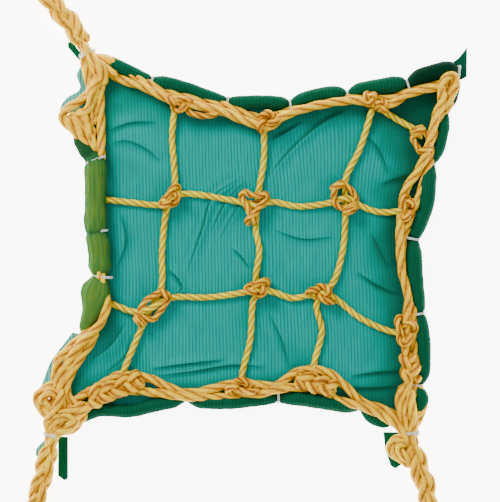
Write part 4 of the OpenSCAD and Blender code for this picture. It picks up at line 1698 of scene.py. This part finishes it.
class ShadeCloth:
    """The knitted cloth: its panel, its four rolled edges and its loose ends."""

    def __init__(self) -> None:
        """Sets the cloth's thickness and grid."""
        self.faces = 172
        self.thickness = 0.7 * MM
        self.base = 1.1
        self.top = np.array([p[:2] for p in HEM_RUNS["hem_top"]], dtype=float)
        self.bottom = np.array([p[:2] for p in HEM_RUNS["hem_bottom"]], dtype=float)
        left = [p[:2] for p in HEM_RUNS["hem_left"]]
        self.left = np.array([self.top[0], (-196, 170), *left, (-214, -150), self.bottom[0]])
        right = [p[:2] for p in HEM_RUNS["hem_right"]]
        self.right = np.array([self.top[-1], *right, self.bottom[-1]])

    def surface(self, s: np.ndarray, t: np.ndarray) -> np.ndarray:
        """Lays the unit square between the four hems, with its folds, in metres."""
        low, high = along_polyline(self.bottom, s), along_polyline(self.top, s)
        west, east = along_polyline(self.left, 1 - t), along_polyline(self.right, 1 - t)
        a, b = s[:, None], t[:, None]
        corners = (
            (1 - a) * (1 - b) * self.bottom[0]
            + a * (1 - b) * self.bottom[-1]
            + (1 - a) * b * self.top[0]
            + a * b * self.top[-1]
        )
        xy = (1 - b) * low + b * high + (1 - a) * west + a * east - corners
        x, y = xy[:, 0], xy[:, 1]
        z = self.base + 0.8 + 0.9 * noise_field(x, y, 55, 4.2) + 0.35 * noise_field(x, y, 17, 9.1)
        for crease in CREASES:
            z = z + crease.lift(x, y)
        edge = np.minimum(np.minimum(s, 1 - s), np.minimum(t, 1 - t))
        pucker = np.exp(-edge / 0.05)
        z = z + pucker * (0.9 * noise_field(x, y, 9, 2.7) + 0.5)
        z = np.clip(z, 0.6, 6.5)
        return np.column_stack([x, y, z]) * MM

    def gathered(self, x: np.ndarray, y: np.ndarray) -> np.ndarray:
        """How far the cloth's colour is darkened at points in millimetres, from 0 to 1: painted shade
        beside the border rope and in the folds, darker towards the right side, along the edges and in
        the corners, with tone that differs at random.
        """
        east = 1 / (1 + np.exp(-(x - 112) / 14))
        value = 0.04 + 0.40 * east
        value += 0.55 * hump(x, y, 175, 165, 48, 48)
        value += 0.22 * hump(x, y, 172, 60, 26, 90)
        value += 0.30 * hump(x, y, 150, -175, 50, 40)
        value += 0.42 * hump(x, y, -205, -140, 46, 40)
        value += 0.30 * hump(x, y, -176, 10, 14, 120)
        value += 0.26 * hump(x, y, -150, 172, 60, 22)
        value += 0.20 * hump(x, y, -40, 148, 90, 16)
        value += 0.20 * hump(x, y, 0, -160, 220, 16)
        value += 0.26 * noise_field(x, y, 60, 6.6) + 0.18 * noise_field(x, y, 22, 1.6)
        # Painted shadow of the border rope on the cloth beside it.
        value += 0.42 * np.exp(-((self.border_gap(x, y) / 17) ** 2))
        # Painted shade in the folds.
        for crease in CREASES:
            value += crease.pleat(x, y)
        return np.clip(value, 0, 1)

    def border_gap(self, x: np.ndarray, y: np.ndarray) -> np.ndarray:
        """Distance to the border rope at points in millimetres."""
        best = np.full(x.shape, 1e9)
        for name, route in BORDER_ROUTES.items():
            if name.endswith("inner"):
                line = smooth_line(route, 6.0)
                reach = np.hypot(x[:, None] - line[None, :, 0], y[:, None] - line[None, :, 1])
                best = np.minimum(best, reach.min(axis=1))
        return best

    def ribs(self, x: np.ndarray, y: np.ndarray) -> np.ndarray:
        """Place across the ribs in millimetres, bent where the cloth is pulled."""
        pull = 9 * hump(x, y, 30, 140, 90, 70) * (y - 60) / 80
        lean = -11 * hump(x, y, 140, 110, 60, 80) * (y - 60) / 80
        return x + pull * 0.5 + lean + 2.2 * noise_field(x, y, 70, 8.8) + 0.02 * y

    def build(self) -> None:
        panel = grid_piece("shade_cloth_panel", self.faces, self.faces, self.surface)
        across, along = spread_lengths(self.surface)
        self._mark(panel)
        thicken(panel, self.thickness)
        dress(panel, Finish.SHADE_CLOTH)
        place(panel, NET_BODY, "shade_cloth")
        rolls = [
            RolledHem("hem_top", TWINE_PLACES["twine_top"][1], -1, True).build(),
            RolledHem("hem_right", TWINE_PLACES["twine_right"][1], -1, False).build(),
            RolledHem("hem_bottom", TWINE_PLACES["twine_bottom"][1], 1, True).build(),
            RolledHem("hem_left", TWINE_PLACES["twine_left"][1], 1, False, True).build(),
        ]
        for flap in FLAPS:
            flap.build()

    def _mark(self, panel: bpy.types.Object) -> None:
        """Stores the cloth's painted shade and tone and the painted shadow lines of its folds, and
        turns its UV map with the ribs.
        """
        mesh = panel.data
        flat = np.zeros(3 * len(mesh.vertices), dtype=np.float32)
        mesh.vertices.foreach_get("co", flat)
        x, y = (flat.reshape(-1, 3) / MM)[:, :2].T
        # Painted shade and tone, stored on the cloth's points.
        dense = self.gathered(x, y).astype(np.float32)
        mesh.attributes.new("gathered", "FLOAT", "POINT").data.foreach_set("value", dense)
        fold = np.zeros(len(x))
        fade = np.zeros(len(x))
        for crease in CREASES:
            reach, strength = crease.mark(x, y)
            stronger = strength > fade
            fold[stronger] = np.clip(0.5 + reach[stronger] / 20, 0, 1)
            fade[stronger] = strength[stronger]
        for name, value in (("fold", fold), ("fold_fade", fade)):
            mesh.attributes.new(name, "FLOAT", "POINT").data.foreach_set(
                "value", value.astype(np.float32)
            )
        index = np.zeros(len(mesh.loops), dtype=np.int32)
        mesh.loops.foreach_get("vertex_index", index)
        uv = np.column_stack([self.ribs(x, y), y])[index] * MM
        mesh.uv_layers["UVMap"].data.foreach_set("uv", uv.astype(np.float32).reshape(-1))


@dataclass(frozen=True)
class Flap:
    """A loose end of the cloth, spread between two of its edges.

    Attributes:
        node: the node it stands for.
        split: point of the outline where the second edge starts.
        sheer: whether it is one open layer of cloth.
        ripple: height of its waves, in millimetres.
        waves: number of waves along it.
    """

    node: str
    split: int
    sheer: bool
    ripple: float
    waves: float

    def surface(self, s: np.ndarray, t: np.ndarray) -> np.ndarray:
        """Lays the unit square between the two edges, in metres."""
        rows = np.array(FLAP_OUTLINES[self.node], dtype=float)
        one = rows[: self.split + 1]
        two = np.vstack([rows[:1], rows[self.split :][::-1]])
        edges = [one, two]
        if self.sheer:
            edges = [smooth_line([(x, y, 0.0) for x, y in e], 0.8)[:, :2] for e in edges]
        a, b = (along_polyline(edge, t) for edge in edges)
        xy = a + (b - a) * s[:, None]
        wave = np.sin(2 * math.pi * (self.waves * t + 0.35 * s))
        z = 1.4 + self.ripple * (0.5 + 0.5 * wave) * (0.35 + 0.65 * s * (1 - s) * 4)
        return np.column_stack([xy, z]) * MM

    def build(self) -> None:
        piece = grid_piece(f"{self.node}_loose", 22, 44, self.surface)
        thicken(piece, FLAP_THICKNESS)
        dress(piece, Finish.SHEER_CLOTH if self.sheer else Finish.HEM_CLOTH)
        place(piece, NET_BODY, self.node)
        self.cut()

    def cut(self) -> tuple[float, float]:
        """Width and length of the flap when it is spread flat, in metres."""
        across, along = spread_lengths(self.surface)
        return float(across.max()), float(along[SPREAD_LINES // 2])


FLAPS = (
    Flap("flap_top_left", 5, True, 4.0, 1.6),
    Flap("flap_bottom_left", 4, True, 3.0, 1.3),
    Flap("tab_bottom_left", 3, True, 2.0, 1.0),
    Flap("strap_bottom_left", 3, False, 1.4, 1.2),
    Flap("tail_top_left", 3, False, 2.0, 1.0),
    Flap("flap_bottom_right", 3, False, 3.0, 1.0),
    Flap("tip_top_right", 2, False, 2.0, 1.0),
)


class TwineTies:
    """Thin twine that lashes the rolled hems to the border rope."""

    def build(self) -> None:
        """Builds the ties of each side as one piece."""
        for name, (hem, places, rope_side) in TWINE_PLACES.items():
            bag = MeshBag()
            for i in places:
                self._tie(bag, hem, i, rope_side)
            piece = bag.build(f"{name}_lashing")
            dress(piece, Finish.TWINE)
            place(piece, NET_BODY, name)

    def _tie(self, bag: MeshBag, hem: str, i: int, rope_side: int) -> None:
        """Adds one tie: two turns and a bit round the hem, through the rope beside it."""
        rows = np.array(HEM_RUNS[hem], dtype=float)
        before, after = rows[max(i - 1, 0), :2], rows[min(i + 1, len(rows) - 1), :2]
        along = (after - before) / np.linalg.norm(after - before)
        across = np.array([-along[1], along[0]]) * rope_side
        centre = rows[i, :2]
        radius = rows[i, 2] * HEM_FULL_D / MM / 2
        rounds = [(0.0, radius, radius * 0.72), (radius * 0.8 + 2.5, radius + 1.5, 2.0)]
        if hem == "hem_left":
            rounds = [(-0.6, radius * 1.2, radius * 1.05), (6.5, 12.0, 6.2)]
        circle = np.radians(np.arange(0, 360, 15))
        cloud = np.vstack(
            [
                np.column_stack([u + (r + 1) * np.cos(circle), h + (r + 1) * np.sin(circle)])
                for u, h, r in rounds
            ]
        )
        cloud[:, 1] = np.maximum(cloud[:, 1], 1.1)
        outline = hull(cloud)
        first = int(np.argmin(outline[:, 0]))
        outline = np.roll(outline, -first, axis=0)
        turns = np.vstack([outline, outline, outline[: len(outline) // 3]])
        slip = np.linspace(-1.5, 1.5, len(turns))
        points = np.column_stack(
            [
                centre[0] + across[0] * turns[:, 0] + along[0] * slip,
                centre[1] + across[1] * turns[:, 0] + along[1] * slip,
                turns[:, 1],
            ]
        )
        add_rope(bag, points * MM, TWINE_LAY, seed=i)


def main() -> None:
    """Builds every sub-assembly in order."""
    logging.basicConfig(level=logging.INFO, format="%(message)s")
    studio = Studio()
    studio.build_camera()
    for corner, pitch, start, neck, share, bight in (
        ("top_left", 78 * MM, 0.4, 14 * MM, 0.75, ()),
        ("bottom_left", 92 * MM, 1.3, 24 * MM, 0.55, ()),
        ("bottom_right", 88 * MM, 2.4, 16 * MM, 0.7, TIE_BIGHT),
    ):
        CornerTie(corner, pitch, start, neck, share, bight).build()
    studio.build_floor()
    studio.build_lights()
    for part in (ShadeCloth(), BorderRope(), MeshNet(), Knots(), CornerWork(), TwineTies()):
        LOG.info("building %s", type(part).__name__)
        part.build()


if __name__ == "__main__":
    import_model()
    main()
